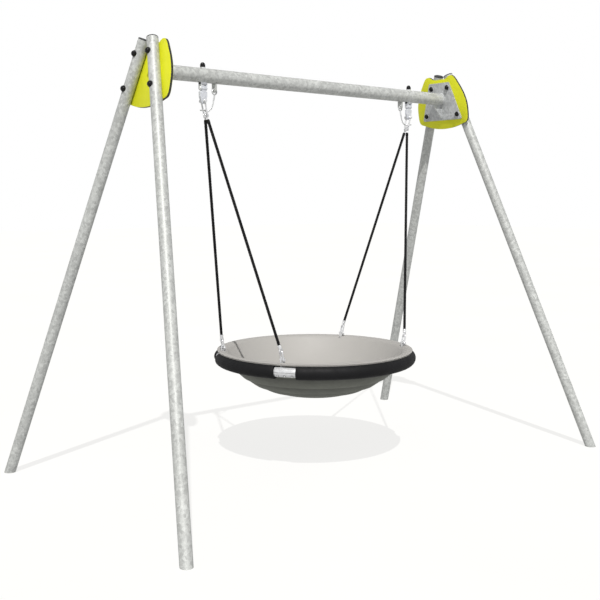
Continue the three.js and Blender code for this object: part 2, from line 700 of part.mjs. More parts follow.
/** The rubber bumper round the hoop, waisted where the clamps grip it. */
function bumper() {
  const play = 0.5;
  const past = SEAT.bumperRadius + 20;
  const grooves = clampPlaces().map(([x, y]) => {
    return sleeve(Math.atan2(y, x), CLAMP.inner - play, past, CLAMP.length + 2 * play);
  });
  const windows = clampPlaces().map(([x, y]) => {
    const low = new THREE.Vector3(x, y, SEAT.ringZ - CLAMP.inner - PAST);
    return bar(low, low.clone().setZ(SEAT.ringZ), CLAMP.windowRadius, BOLT_SEGMENTS);
  });
  const bore = seatRing(SEAT.boreRadius, HOOP_SEGMENTS);
  return cut(seatRing(SEAT.bumperRadius, EYE_SEGMENTS), bore, ...grooves, ...windows);
}

/** Where the four clamps sit on the ring. */
function clampPlaces() {
  return SIDES.flatMap(([, side]) => ENDS.map(([, end]) => [side * clampX, end * clampY]));
}

class RingArc extends THREE.Curve {
  constructor(azimuth, length) {
    super();
    this.azimuth = azimuth;
    this.span = length / SEAT.ringRadius;
  }

  getPoint(t, target = new THREE.Vector3()) {
    const angle = this.azimuth + (t - 0.5) * this.span;
    return target.set(SEAT.ringRadius * Math.cos(angle), SEAT.ringRadius * Math.sin(angle), SEAT.ringZ);
  }
}

/** A length of pipe bent along the seat's ring. */
function sleeve(azimuth, inner, outer, length) {
  const section = new THREE.Shape();
  section.absarc(0, 0, outer, 0, 2 * Math.PI);
  hole(section, 0, 0, inner);
  const extrudePath = new RingArc(azimuth, length);
  const curveSegments = EYE_SEGMENTS / 2;
  return new THREE.ExtrudeGeometry(section, { extrudePath, steps: 3, curveSegments });
}

/** A clamp: a sleeve round the ring, an eye on top for the shackle and bolt heads low on its outside. */
function clamp(end) {
  const azimuth = end * clampAzimuth;
  const body = sleeve(azimuth, CLAMP.inner, CLAMP.outer, CLAMP.length);
  const eyeShape = lugOutline(CLAMP.eyeRadius, CLAMP.eyeReach, CLAMP.eyeHole);
  const eye = plateAcrossY(eyeShape, CLAMP.eyeHalf, LUG_STEPS).rotateY(Math.PI);
  eye.translate(clampX, end * eyeY, clampEyeZ);
  const bolts = [-1, 0, 1].map((way) => {
    const angle = azimuth + (way * CLAMP.boltSpacing) / SEAT.ringRadius;
    const radial = new THREE.Vector3(Math.cos(angle), Math.sin(angle), 0);
    const outward = radial.clone().sub(Z_AXIS).normalize();
    const centre = radial.multiplyScalar(SEAT.ringRadius).setZ(SEAT.ringZ);
    const from = centre.clone().addScaledVector(outward, (CLAMP.inner + CLAMP.outer) / 2);
    const to = centre.clone().addScaledVector(outward, CLAMP.boltReach);
    return bar(from, to, CLAMP.boltRadius, HOOP_SEGMENTS);
  });
  const bore = sleeve(azimuth, 1, CLAMP.inner, CLAMP.length);
  return join(cut(eye, bore), body, ...bolts);
}

// ---------------------------------------------------------------- assembly

/** The pieces of one end frame, in the gable's axes. */
function gablePieces() {
  const pieces = [
    { name: 'panel', shape: panel(), look: yellowBoard },
    { name: 'end_plate', shape: endPlate(), look: galvanised },
  ];
  for (const [, end] of ENDS) {
    pieces.push({ name: 'leg', end, shape: legSolid(end), look: galvanised });
    pieces.push({ name: 'leg_plug', end, shape: legPlug(end), look: greyPlastic });
    ['upper', 'lower'].forEach((level, i) => {
      pieces.push({ name: `leg_bolt_${level}`, end, shape: legBolt(end, BOLT.drops[i]), look: blackPlastic });
      pieces.push({ name: `leg_nut_${level}`, end, shape: legNut(end, BOLT.drops[i]), look: blackPlastic });
    });
  }
  return pieces;
}

/** The pieces of one hanger, its ropes and their clamps. */
function suspensionPieces() {
  const pieces = [
    { name: 'hanger_clevis', shape: clevis(), look: stainless },
    { name: 'hanger_nut', shape: clevisNut(), look: blackPlastic },
    { name: 'pivot_pin', shape: pivotPin(), look: stainless },
    { name: 'pivot_bush', shape: pivotBush(), look: bronze },
    { name: 'pendulum', shape: pendulum(), look: castSteel },
    { name: 'safety_cable', shape: safetyCable(), look: stainless },
    { name: 'upper_shackle', shape: upperShackle(), look: stainless },
  ];
  for (const [, end] of ENDS) {
    pieces.push({ name: 'rope', end, shape: rope(end), look: blackRope });
    pieces.push({ name: 'lower_shackle', end, shape: lowerShackle(end), look: stainless });
    pieces.push({ name: 'ring_clamp', end, shape: clamp(end), look: stainless });
  }
  return pieces;
}

/** Both halves are alike: the left one is the right one turned half a turn, which swaps front and rear. */
function fullName(name, end, sideName, side) {
  if (end === undefined) {
    return `${name}_${sideName}`;
  }
  return `${name}_${end * side > 0 ? 'rear' : 'front'}_${sideName}`;
}

const swing = new THREE.Group();
const gableParts = gablePieces();
const suspensionParts = suspensionPieces();
for (const [sideName, side] of SIDES) {
  const half = new THREE.Group();
  half.rotation.z = side > 0 ? 0 : Math.PI;
  const gable = new THREE.Group();
  gable.position.set(FRAME.topX, 0, FRAME.topZ);
  gable.rotation.y = -slopeAngle;
  for (const { name, end, shape, look } of gableParts) {
    gable.add(piece(fullName(name, end, sideName, side), shape, look));
  }
  for (const { name, end, shape, look } of suspensionParts) {
    half.add(piece(fullName(name, end, sideName, side), shape, look));
  }
  half.add(gable);
  swing.add(half);
}
swing.add(
  piece('crossbar', crossbar(), galvanised),
  piece('seat_bowl', bowl(), greyRubber),
  piece('ring_bumper', bumper(), blackRubber),
  piece('ring_hoop', ringCore(), galvanised),
);

export default swing;
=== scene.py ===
import json
from math import atan2, copysign, cos, pi, radians, sin, sqrt, tan

import bmesh
import bpy
from mathutils import Matrix, Vector
from mathutils.geometry import interpolate_bezier


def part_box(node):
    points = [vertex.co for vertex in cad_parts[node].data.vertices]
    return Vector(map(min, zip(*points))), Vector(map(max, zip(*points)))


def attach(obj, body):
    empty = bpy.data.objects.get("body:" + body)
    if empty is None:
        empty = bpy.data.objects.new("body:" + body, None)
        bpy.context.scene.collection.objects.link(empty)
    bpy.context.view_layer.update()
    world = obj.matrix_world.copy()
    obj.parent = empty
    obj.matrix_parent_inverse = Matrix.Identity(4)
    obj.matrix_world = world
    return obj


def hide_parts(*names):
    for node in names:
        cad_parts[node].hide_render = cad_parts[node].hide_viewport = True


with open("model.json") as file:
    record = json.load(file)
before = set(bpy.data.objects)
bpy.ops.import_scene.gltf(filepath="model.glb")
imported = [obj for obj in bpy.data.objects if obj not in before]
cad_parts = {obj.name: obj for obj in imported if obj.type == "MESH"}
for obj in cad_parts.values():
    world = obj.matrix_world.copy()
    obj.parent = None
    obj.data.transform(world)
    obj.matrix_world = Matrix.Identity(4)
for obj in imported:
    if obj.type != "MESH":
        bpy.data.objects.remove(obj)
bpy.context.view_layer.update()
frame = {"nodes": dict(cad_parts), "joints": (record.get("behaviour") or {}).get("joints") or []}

MM = 0.001
GAP = 0.3 * MM

IDENTITY = Matrix.Identity(4)
HALF_TURN = Matrix.Rotation(pi, 4, "Z")
MIRROR = Matrix.Scale(-1, 4, (0, 1, 0))
SIDES = {"right": IDENTITY, "left": HALF_TURN}
CORNERS = {
    "rear_right": IDENTITY,
    "front_right": MIRROR,
    "front_left": HALF_TURN,
    "rear_left": HALF_TURN @ MIRROR,
}
ALONG_X = Matrix.Rotation(pi / 2, 4, "Y")
ALONG_Y = Matrix.Rotation(-pi / 2, 4, "X")
# These stand an outline up across X and across Y.
FACING_X = Matrix(((0, 0, 1, 0), (1, 0, 0, 0), (0, 1, 0, 0), (0, 0, 0, 1)))
FACING_Y = Matrix(((1, 0, 0, 0), (0, 0, 1, 0), (0, 1, 0, 0), (0, 0, 0, 1)))
Y_AXIS = Vector((0, 1, 0))
Z_AXIS = Vector((0, 0, 1))
shift = Matrix.Translation


# ---- measures taken from the frame

def corners_in(node, axes):
    """Lowest and highest corner of a CAD node, measured along the given axes."""
    back = axes.inverted()
    points = [back @ vertex.co for vertex in frame["nodes"][node].data.vertices]
    low = Vector(min(point[i] for point in points) for i in range(3))
    high = Vector(max(point[i] for point in points) for i in range(3))
    return low, high


def middle(node):
    low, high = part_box(node)
    return (low + high) / 2


def leg_measures():
    """Foot, top, outer and inner radius of the rear right leg, from its CAD tube."""
    points = [vertex.co for vertex in frame["nodes"]["leg_rear_right"].data.vertices]
    at_foot = [point for point in points if point.z < GAP]
    foot = sum(at_foot, Vector()) / len(at_foot)
    end_depth = 5 * MM
    length = max((point - foot).length for point in points)
    at_top = [point for point in points if (point - foot).length > length - end_depth]
    top = sum(at_top, Vector()) / len(at_top)
    from_axis = [(point - top).length for point in at_top]
    return foot, top, max(from_axis), min(from_axis)


def ring_radius():
    """Radius of the seat's ring, midway between the hoop's inner and outer edge."""
    reaches = [vertex.co.xy.length for vertex in frame["nodes"]["ring_hoop"].data.vertices]
    return (min(reaches) + max(reaches)) / 2


def clamp_azimuth():
    """Where the middle of the rear right clamp's sleeve sits round the ring."""
    points = [vertex.co for vertex in frame["nodes"]["ring_clamp_rear_right"].data.vertices]
    angles = [atan2(point.y, point.x) for point in points]
    return (min(angles) + max(angles)) / 2


JOINT_AT = {joint["name"]: Vector(joint["pos_m"]) for joint in frame["joints"]}
PIVOT = JOINT_AT["swing_right"]
SWAY_PIN = JOINT_AT["sway_right"]
CLAMP_EYE = HALF_TURN @ JOINT_AT["seat_level"]
CLAMP_EYE.y = middle("lower_shackle_rear_right").y

LEG_FOOT, LEG_TOP, LEG_RADIUS, LEG_BORE = leg_measures()
LEG_DOWN = (LEG_FOOT - LEG_TOP).normalized()
LEG_PLACE = (Z_AXIS.rotation_difference(LEG_DOWN).to_matrix().to_4x4(), shift(LEG_TOP))
SLOPE = atan2(LEG_FOOT.x - LEG_TOP.x, LEG_TOP.z - LEG_FOOT.z)
GABLE = shift((LEG_TOP.x, 0, LEG_TOP.z)) @ Matrix.Rotation(-SLOPE, 4, "Y")
PANEL_LOW, PANEL_HIGH = corners_in("panel_right", GABLE)
PLATE_LOW, PLATE_HIGH = corners_in("end_plate_right", GABLE)
PLATE_THICKNESS = 8 * MM
PLATE_FACE = PLATE_HIGH.x - PLATE_THICKNESS

BAR_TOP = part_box("crossbar")[1].z
BAR_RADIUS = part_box("crossbar")[1].y
BAR_Z = BAR_TOP - BAR_RADIUS
BAR_WALL = 3.6 * MM
BAR_UNDERSIDE = BAR_Z - BAR_RADIUS

RING_RADIUS = ring_radius()
RING_Z = middle("ring_bumper").z
BUMPER_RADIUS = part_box("ring_bumper")[1].x - RING_RADIUS
CLAMP_AZIMUTH = clamp_azimuth()
BOWL_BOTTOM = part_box("seat_bowl")[0].z
RIDGE_PITCH = 72 * MM

LINK_LEAN = atan2(SWAY_PIN.x - CLAMP_EYE.x, SWAY_PIN.z - CLAMP_EYE.z)
LEAN = Matrix.Rotation(LINK_LEAN, 4, "Y")


# ---- meshes

SHARP_DEGREES = 35


class Shell:
    """One closed surface: points, faces, the material each face takes, and UVs where it has them."""

    def __init__(self, points, faces, looks=None, uvs=None):
        self.points = [Vector(point) for point in points]
        self.faces = faces
        self.looks = looks or [0] * len(faces)
        self.uvs = uvs or [[(0, 0)] * len(face) for face in faces]

    def moved(self, *matrices):
        """The same shell after each matrix in turn."""
        points = self.points
        for matrix in matrices:
            points = [matrix @ point for point in points]
        return Shell(points, self.faces, self.looks, self.uvs)

    def shaped(self, rule):
        """The same shell with each point put through a rule."""
        return Shell([rule(point) for point in self.points], self.faces, self.looks, self.uvs)

    def looking(self, look):
        """The same shell in another of its piece's materials."""
        return Shell(self.points, self.faces, [look] * len(self.faces), self.uvs)


def to_mesh(name, shells, *places, sharp_degrees=SHARP_DEGREES):
    """Shells as one mesh after some moves, faces turned outwards, smooth except at sharp edges."""
    mesh = bpy.data.meshes.new(name)
    points, faces, looks, uvs = [], [], [], []
    for shell in shells:
        start = len(points)
        points += shell.moved(*places).points
        faces += [[start + corner for corner in face] for face in shell.faces]
        looks += shell.looks
        uvs += [uv for face in shell.uvs for uv in face]
    mesh.from_pydata(points, [], faces)
    mesh.polygons.foreach_set("material_index", looks)
    layer = mesh.uv_layers.new(name="surface")
    layer.data.foreach_set("uv", [value for uv in uvs for value in uv])
    work = bmesh.new()
    work.from_mesh(mesh)
    bmesh.ops.recalc_face_normals(work, faces=work.faces)
    work.to_mesh(mesh)
    work.free()
    soften(mesh, sharp_degrees)
    return mesh


def soften(mesh, sharp_degrees=SHARP_DEGREES):
    mesh.polygons.foreach_set("use_smooth", [True] * len(mesh.polygons))
    mesh.set_sharp_from_angle(angle=radians(sharp_degrees))


def mm(*values):
    """Millimetres as metres: single values, or rows of them."""
    return [mm(*value) if isinstance(value, tuple) else value * MM for value in values]


def arc(radius, first, last, steps):
    """Points of an arc about the origin, from its first angle to its last."""
    angles = [first + (last - first) * step / steps for step in range(steps + 1)]
    return [(radius * cos(angle), radius * sin(angle)) for angle in angles]


def circle(radius, steps):
    return arc(radius, 0, 2 * pi, steps)[:-1]


def quads(below, above, count):
    """Faces between two rings of points, each numbered on from its first."""
    around = [(k, (k + 1) % count) for k in range(count)]
    return [[below + k, below + j, above + j, above + k] for k, j in around]


def tongue(radius, reach, steps=24):
    """An outline with a round end about the origin and straight sides that run up to a height."""
    corners = [(radius, reach), (-radius, reach)]
    return [Vector(point) for point in corners + arc(radius, pi, 2 * pi, steps)]


def rounded(corners, steps=4):
    """A closed outline of (x, y, radius) corners, each rounded by its radius."""
    outline = []
    for i, (x, y, radius) in enumerate(corners):
        here = Vector((x, y))
        if radius == 0:
            outline.append(here)
            continue
        back = (Vector(corners[i - 1][:2]) - here).normalized()
        ahead = (Vector(corners[(i + 1) % len(corners)][:2]) - here).normalized()
        half = back.angle(ahead) / 2
        centre = here + (back + ahead).normalized() * (radius / sin(half))
        start = here + back * (radius / tan(half)) - centre
        stop = here + ahead * (radius / tan(half)) - centre
        for step in range(steps + 1):
            outline.append(centre + start.lerp(stop, step / steps).normalized() * radius)
    return outline


def rectangle(x, y, other_x, other_y, radius):
    """A rounded outline between two opposite corners."""
    return rounded([(x, y, radius), (other_x, y, radius), (other_x, other_y, radius), (x, other_y, radius)])


def outline_offset(outline, inset):
    """An outline moved inwards by a small distance, with mitred corners."""
    area = sum(a.x * b.y - b.x * a.y for a, b in zip(outline, outline[1:] + outline[:1]))
    turn = 1 if area > 0 else -1
    moved = []
    for i, here in enumerate(outline):
        arriving = (here - outline[i - 1]).normalized()
        leaving = (outline[(i + 1) % len(outline)] - here).normalized()
        inward = Vector((-arriving.y - leaving.y, arriving.x + leaving.x)) * turn
        moved.append(here + inward * (inset / (1 + arriving.dot(leaving))))
    return moved


def slab(outline, low, high, edge, side_look=0, face_look=0):
    """An outline thickened along Z from low to high, with its edges rounded by `edge`."""
    near = 0.3 * edge
    layers = [(edge, low), (near, low + near), (0, low + edge)]
    layers += [(0, high - edge), (near, high - near), (edge, high)]
    looks_between = [face_look, face_look, side_look, face_look, face_look]
    count = len(outline)
    points, faces, looks = [], [], []
    for inset, height in layers:
        points += [(point.x, point.y, height) for point in outline_offset(outline, inset)]
    for layer, look in enumerate(looks_between):
        faces += quads(layer * count, (layer + 1) * count, count)
        looks += [look] * count
    faces.append(list(range(count)))
    faces.append([(len(layers) - 1) * count + i for i in range(count)])
    return Shell(points, faces, looks + [face_look, face_look])


def revolve(profile, segments=48, first_degrees=0.0, last_degrees=360.0):
    """A (radius, height) profile turned about Z. It runs from axis to axis, or it is a closed loop."""
    whole = last_degrees - first_degrees >= 360
    loop = profile[0][0] > 0
    stations = segments if whole else segments + 1
    step = radians(last_degrees - first_degrees) / segments
    angles = [radians(first_degrees) + step * i for i in range(stations)]
    points, rings = [], []
    for radius, height in profile:
        around = angles if radius > 0 else angles[:1]
        rings.append([len(points) + i for i in range(len(around))])
        points += [(radius * cos(angle), radius * sin(angle), height) for angle in around]
    faces = []
    for below, above in zip(rings, rings[1:] + (rings[:1] if loop else [])):
        for i in range(segments):
            j = (i + 1) % stations
            corners = [below[i % len(below)], below[j % len(below)]]
            corners += [above[j % len(above)], above[i % len(above)]]
            distinct = list(dict.fromkeys(corners))
            if len(distinct) > 2:
                faces.append(distinct)
    if not whole:
        faces.append([ring[0] for ring in rings])
        faces.append([ring[-1] for ring in rings])
    return Shell(points, faces)


def rod(radius, low, high, segments=48):
    """A plain cylinder about Z."""
    return revolve([(0, low), (radius, low), (radius, high), (0, high)], segments)


def lengths(path):
    """How far along a path each of its points lies."""
    along = [0.0]
    for before, after in zip(path, path[1:]):
        along.append(along[-1] + (after - before).length)
    return along


def sweep(path, radius, sides=12, closed=False):
    """Round wire along a path of points. `radius` is one value, or one for each point."""
    radii = radius if isinstance(radius, list) else [radius] * len(path)
    count = len(path)
    normals, tangents = carried_normals(path, closed)
    along = lengths(path + path[:1])
    points = []
    for i, centre in enumerate(path):
        side = normals[i].cross(tangents[i])
        points += [centre + normals[i] * x + side * y for x, y in circle(radii[i], sides)]
    faces, uvs = [], []
    for i in range(count if closed else count - 1):
        faces += quads(i * sides, ((i + 1) % count) * sides, sides)
        for k in range(sides):
            left, right = k / sides, (k + 1) / sides
            uvs.append([(along[i], left), (along[i], right), (along[i + 1], right), (along[i + 1], left)])
    if not closed:
        for start in (0, (count - 1) * sides):
            faces.append([start + k for k in range(sides)])
            uvs.append([(0, 0)] * sides)
    return Shell(points, faces, uvs=uvs)


def carried_normals(path, closed=False):
    """A normal at each point of a path, carried along without twist, and the path's directions."""
    count = len(path)
    tangents = []
    for i in range(count):
        before = path[i - 1] if closed or i else path[0]
        after = path[(i + 1) % count] if closed or i < count - 1 else path[-1]
        tangents.append((after - before).normalized())
    normals = [tangents[0].orthogonal().normalized()]
    for before, after in zip(tangents, tangents[1:]):
        normals.append((before.rotation_difference(after) @ normals[-1]).normalized())
    return normals, tangents


def smooth_path(knots, steps=8):
    """Points on a smooth curve through some knots."""
    knots = [Vector(knot) for knot in knots]
    ends = [2 * knots[0] - knots[1]] + knots + [2 * knots[-1] - knots[-2]]
    path = []
    for before, here, there, after in zip(ends, ends[1:], ends[2:], ends[3:]):
        first, second = here + (there - before) / 6, there - (after - here) / 6
        path += interpolate_bezier(here, first, second, there, steps + 1)[:-1]
    return path + [knots[-1]]


def circle_path(centre, radius, across, steps=32):
    """A circle about `centre`, square to the direction `across`."""
    first = across.orthogonal().normalized()
    second = across.normalized().cross(first)
    return [centre + (first * x + second * y) * radius for x, y in circle(1, steps)]


def straight_path(start, stop, step):
    count = max(1, round((stop - start).length / step))
    return [start.lerp(stop, i / count) for i in range(count + 1)]


def weld_bead(path, radius, closed=False):
    """A bead of weld with its ripples, along a path."""
    ripple = 4 * MM
    radii = [radius * (1 + 0.1 * sin(2 * pi * along / ripple)) for along in lengths(path)]
    if not closed:
        radii[0] = radii[-1] = 0.4 * radius
    return sweep(path, radii, sides=8, closed=closed)


def laid(path, radius, strands, lay, sides=8):
    """Strands laid round each other along a path, as in a rope or a cable."""
    share = sin(pi / strands)
    strand_radius = radius * share / (1 + share)
    orbit = radius - strand_radius
    normals, tangents = carried_normals(path)
    shells = [sweep(path, orbit)]
    for strand in range(strands):
        wound = []
        for i, along in enumerate(lengths(path)):
            angle = 2 * pi * (strand / strands + along / lay)
            side = normals[i].cross(tangents[i])
            wound.append(path[i] + (normals[i] * cos(angle) + side * sin(angle)) * orbit)
        shells.append(sweep(wound, strand_radius, sides))
    return shells


def new_object(name, data):
    """An object added to the scene."""
    thing = bpy.data.objects.new(name, data)
    bpy.context.scene.collection.objects.link(thing)
    return thing


def changed(mesh, *modifiers):
    """A mesh after some modifiers, each given as its kind and settings."""
    holder = new_object("work", mesh)
    for kind, settings in modifiers:
        modifier = holder.modifiers.new(kind.lower(), kind)
        for key, value in settings.items():
            setattr(modifier, key, value)
    graph = bpy.context.evaluated_depsgraph_get()
    result = bpy.data.meshes.new_from_object(holder.evaluated_get(graph), depsgraph=graph)
    bpy.data.objects.remove(holder)
    return result


def cut(mesh, shells):
    """A mesh less some closed shells."""
    tool = new_object("tool", to_mesh("tool", shells))
    settings = {"operation": "DIFFERENCE", "solver": "EXACT", "use_self": True, "object": tool}
    result = changed(mesh, ("BOOLEAN", settings))
    bpy.data.objects.remove(tool)
    return result


def cast(mesh, voxel):
    """Overlapping shells run together into one skin with soft fillets, as in a casting."""
    remesh = {"mode": "VOXEL", "voxel_size": voxel, "use_smooth_shade": True}
    return changed(mesh, ("REMESH", remesh), ("SMOOTH", {"factor": 0.5, "iterations": 4}))


# ---- materials

class Nodes:
    """A node tree being filled in."""

    def __init__(self, tree):
        self.tree = tree

    def node(self, kind, settings=None, **inputs):
        node = self.tree.nodes.new(kind)
        for key, value in (settings or {}).items():
            setattr(node, key, value)
        for name, value in inputs.items():
            self.feed(node.inputs[name.replace("_", " ")], value)
        return node

    def feed(self, socket, value):
        if isinstance(value, bpy.types.NodeSocket):
            self.tree.links.new(value, socket)
        else:
            socket.default_value = value

    def maths(self, operation, *values, kind="ShaderNodeMath"):
        node = self.node(kind, {"operation": operation})
        for socket, value in zip(node.inputs, values):
            self.feed(socket, value)
        return node.outputs[0]

    def times(self, first, second):
        return self.maths("MULTIPLY", first, second)

    def ranged(self, value, first, second, low=0.0, high=1.0):
        """A value from low to high turned into one from first to second."""
        node = self.node("ShaderNodeMapRange", Value=value, From_Min=low, From_Max=high)
        self.feed(node.inputs["To Min"], first)
        self.feed(node.inputs["To Max"], second)
        return node.outputs["Result"]


class Look(Nodes):
    """A node material being made: its shader, and the texture steps that feed it."""

    def __init__(self, name):
        self.material = bpy.data.materials.new(name)
        self.material.use_nodes = True
        super().__init__(self.material.node_tree)
        self.shader = self.tree.nodes["Principled BSDF"]
        coordinates = self.node("ShaderNodeTexCoord")
        self.where = coordinates.outputs["Object"]
        self.uv = coordinates.outputs["UV"]

    def set(self, **inputs):
        for name, value in inputs.items():
            self.feed(self.shader.inputs[name.replace("_", " ")], value)

    def stretched(self, x, y, z):
        """The surface coordinates scaled along each axis."""
        return self.maths("MULTIPLY", self.where, (x, y, z), kind="ShaderNodeVectorMath")

    def noise(self, scale, detail=3.0, roughness=0.5, where=None):
        node = self.node("ShaderNodeTexNoise", Vector=where or self.where, Scale=scale, Detail=detail)
        self.feed(node.inputs["Roughness"], roughness)
        return node.outputs["Fac"]

    def cells(self, scale):
        """A random shade for each cell of a crystal pattern."""
        node = self.node("ShaderNodeTexVoronoi", Vector=self.where, Scale=scale)
        return self.node("ShaderNodeSeparateColor", Color=node.outputs["Color"]).outputs[0]

    def spread(self, noise, first, second):
        """A noise, which keeps to its middle range, turned into values from first to second."""
        return self.ranged(noise, first, second, 0.3, 0.7)

    def mixed(self, share, first, second):
        node = self.node("ShaderNodeMix", {"data_type": "RGBA"})
        self.feed(node.inputs["Factor"], share)
        for socket, colour in ((node.inputs[6], first), (node.inputs[7], second)):
            self.feed(socket, colour)
        return node.outputs[2]

    def shaded(self, colour, factor):
        """A colour times a grey value."""
        node = self.node("ShaderNodeVectorMath", {"operation": "SCALE"})
        self.feed(node.inputs[0], colour[:3])
        self.feed(node.inputs["Scale"], factor)
        return node.outputs[0]

    def edges(self):
        """1 on a worn outer edge, 0 elsewhere."""
        pointiness = self.node("ShaderNodeNewGeometry").outputs["Pointiness"]
        return self.ranged(pointiness, 0.0, 1.0, 0.52, 0.6)

    def dust(self, scale, detail):
        """How much dust lies on the sides that face up."""
        normal = self.node("ShaderNodeNewGeometry").outputs["Normal"]
        height = self.node("ShaderNodeSeparateXYZ", Vector=normal).outputs["Z"]
        patches = self.ranged(self.noise(scale, detail), 0.0, 0.03, 0.45, 0.75)
        return self.times(self.ranged(height, 0.0, 1.0, 0.2, 1.0), patches)

    def finished(self, colour, roughness, grain, depth, strength, **others):
        """The material, given its colour, its roughness and the bumps of a grain some mm deep."""
        self.set(Base_Color=colour, Roughness=roughness, **others)
        bump = self.node("ShaderNodeBump", Height=grain, Distance=depth * MM, Strength=strength)
        self.set(Normal=bump.outputs["Normal"])
        return self.material


def rgb(red, green, blue):
    return (red, green, blue, 1.0)


def galvanised(name, colour):
    """Hot-dip zinc: crystals of slightly different greys, dull patches and a fine grain."""
    look = Look(name)
    crystals = look.ranged(look.cells(75), 0.78, 1.1)
    specks = look.ranged(look.cells(240), 0.92, 1.05)
    patches = look.spread(look.noise(7, 4), 0.92, 1.05)
    shaded = look.shaded(colour, look.times(look.times(crystals, specks), patches))
    roughness = look.ranged(look.cells(75), 0.46, 0.6)
    return look.finished(shaded, roughness, look.noise(420, 4), 0.25, 0.35, Metallic=0.2)


def stainless(name):
    """Satin stainless steel with fine drawing lines."""
    look = Look(name)
    lines = look.noise(1, 4, 0.6, look.stretched(1400, 1400, 90))
    colour = look.shaded(rgb(0.8, 0.81, 0.83), look.spread(look.noise(60, 3), 0.86, 1.04))
    return look.finished(colour, look.spread(lines, 0.24, 0.4), lines, 0.1, 0.25, Metallic=0.5)


def cast_steel(name):
    """Zinc-plated casting: fine sand grain, brighter where edges rub."""
    look = Look(name)
    grain = look.noise(900, 3)
    base = look.shaded(rgb(0.72, 0.74, 0.79), look.spread(look.noise(90, 4), 0.88, 1.06))
    colour = look.mixed(look.edges(), base, rgb(0.82, 0.84, 0.88))
    return look.finished(colour, look.spread(grain, 0.36, 0.5), grain, 0.2, 0.4, Metallic=0.35)


def board_face(name):
    """Yellow-green polyethylene board: slight mottling, an orange-peel skin and scuffed edges."""
    look = Look(name)
    base = look.shaded(rgb(0.7, 0.715, 0.01), look.spread(look.noise(14, 5), 0.95, 1.03))
    colour = look.mixed(look.times(look.edges(), 0.35), base, rgb(0.8, 0.82, 0.2))
    scratches = look.noise(1, 2, 0.5, look.stretched(30, 40, 900))
    roughness = look.ranged(scratches, 0.34, 0.52, 0.35, 0.65)
    return look.finished(colour, roughness, look.noise(650, 2), 0.15, 0.3, Specular_IOR_Level=0.25)


def board_core(name):
    """The board's dark middle layer, with the marks of the cutter along its edge."""
    look = Look(name)
    marks = look.noise(1, 3, 0.6, look.stretched(60, 800, 800))
    colour = look.shaded(rgb(0.02, 0.021, 0.018), look.spread(marks, 0.7, 1.6))
    return look.finished(colour, look.spread(marks, 0.45, 0.65), marks, 0.2, 0.5)


def moulded_plastic(name, colour, roughness):
    """Moulded cap: fine texture, a little dust on top and paler edges."""
    look = Look(name)
    worn = look.mixed(look.times(look.edges(), 0.08), colour, rgb(0.2, 0.2, 0.2))
    dusty = look.mixed(look.dust(120, 5), worn, rgb(0.3, 0.29, 0.27))
    rough = look.spread(look.noise(300, 3), roughness, roughness + 0.14)
    return look.finished(dusty, rough, look.noise(1500, 2), 0.08, 0.25, Specular_IOR_Level=0.3)


def sintered_bronze(name):
    """Porous bearing bronze with a film of oil."""
    look = Look(name)
    pores = look.cells(1600)
    colour = look.shaded(rgb(0.42, 0.28, 0.12), look.ranged(pores, 0.7, 1.1))
    return look.finished(colour, look.spread(look.noise(200, 3), 0.3, 0.5), pores, 0.1, 0.3, Metallic=0.9)


def yarn(name, colour, along, roughness, **others):
    """The yarns or wires that each strand is twisted from, running at a slant round it."""
    look = Look(name)
    across = 6.0
    uv = look.node("ShaderNodeSeparateXYZ", Vector=look.uv).outputs
    slanted = look.maths("MULTIPLY_ADD", uv["X"], along, look.times(uv["Y"], across))
    ridge = look.maths("ABSOLUTE", look.maths("SINE", look.times(slanted, pi)))
    fuzz = look.noise(1300, 3)
    # Colour darker in the valleys between yarns and lighter on their crowns: painted shade and painted
    # highlight, plus random fuzz.
    shade = look.maths("ADD", look.ranged(ridge, 0.55, 1.15), look.spread(fuzz, -0.15, 0.15))
    height = look.maths("ADD", ridge, look.times(fuzz, 0.5))
    return look.finished(look.shaded(colour, shade), roughness, height, 0.35, 0.7, **others)


def bumper_rubber(name):
    """Matt black moulded rubber: fine grain, faint bloom and dust on its top."""
    look = Look(name)
    bloom = look.ranged(look.noise(5, 5, 0.6), 0.85, 1.35, 0.35, 0.7)
    base = look.shaded(rgb(0.005, 0.005, 0.006), bloom)
    dusty = look.mixed(look.dust(45, 6), base, rgb(0.25, 0.24, 0.22))
    roughness = look.spread(look.noise(25, 4), 0.6, 0.74)
    return look.finished(dusty, roughness, look.noise(1100, 3), 0.2, 0.45, Specular_IOR_Level=0.25)


def bowl_top(name):
    """Light warm grey rubber: even colour, a fine stipple and faint scuffs where people sit."""
    look = Look(name)
    cloud = look.spread(look.noise(3, 4), 0.97, 1.02)
    scuffs = look.ranged(look.noise(1, 5, 0.65, look.stretched(18, 60, 20)), 1.0, 0.94, 0.6, 0.78)
    colour = look.shaded(rgb(0.387, 0.376, 0.36), look.times(cloud, scuffs))
    return look.finished(colour, look.spread(look.noise(40, 4), 0.5, 0.66), look.noise(800, 2), 0.2, 0.3)


def bowl_underside(name):
    """The bowl's olive grey underside, the top's rubber painted darker as shade, with painted light and
    shade banded by each ridge's step, cloudy tone and splashes.
    """
    look = Look(name)
    cloud = look.spread(look.noise(9, 5, 0.6), 0.88, 1.1)
    splashes = look.ranged(look.noise(70, 4, 0.7), 1.0, 0.8, 0.62, 0.8)
    # Painted light and shade banded with the ridges: lighter just past each step, darker towards the next
    # step.
    flat = look.node("ShaderNodeVectorMath", {"operation": "LENGTH"})
    look.feed(flat.inputs[0], look.stretched(1, 1, 0))
    share = look.maths("FRACT", look.maths("DIVIDE", flat.outputs["Value"], RIDGE_PITCH))
    shade = look.times(look.times(cloud, splashes), look.ranged(share, 1.35, 0.7))
    # Colour: the top's grey rubber painted darker as the underside's shade.
    colour = look.shaded(rgb(0.125, 0.13, 0.112), shade)
    return look.finished(colour, look.spread(look.noise(30, 4), 0.6, 0.78), look.noise(600, 3), 0.25, 0.4)


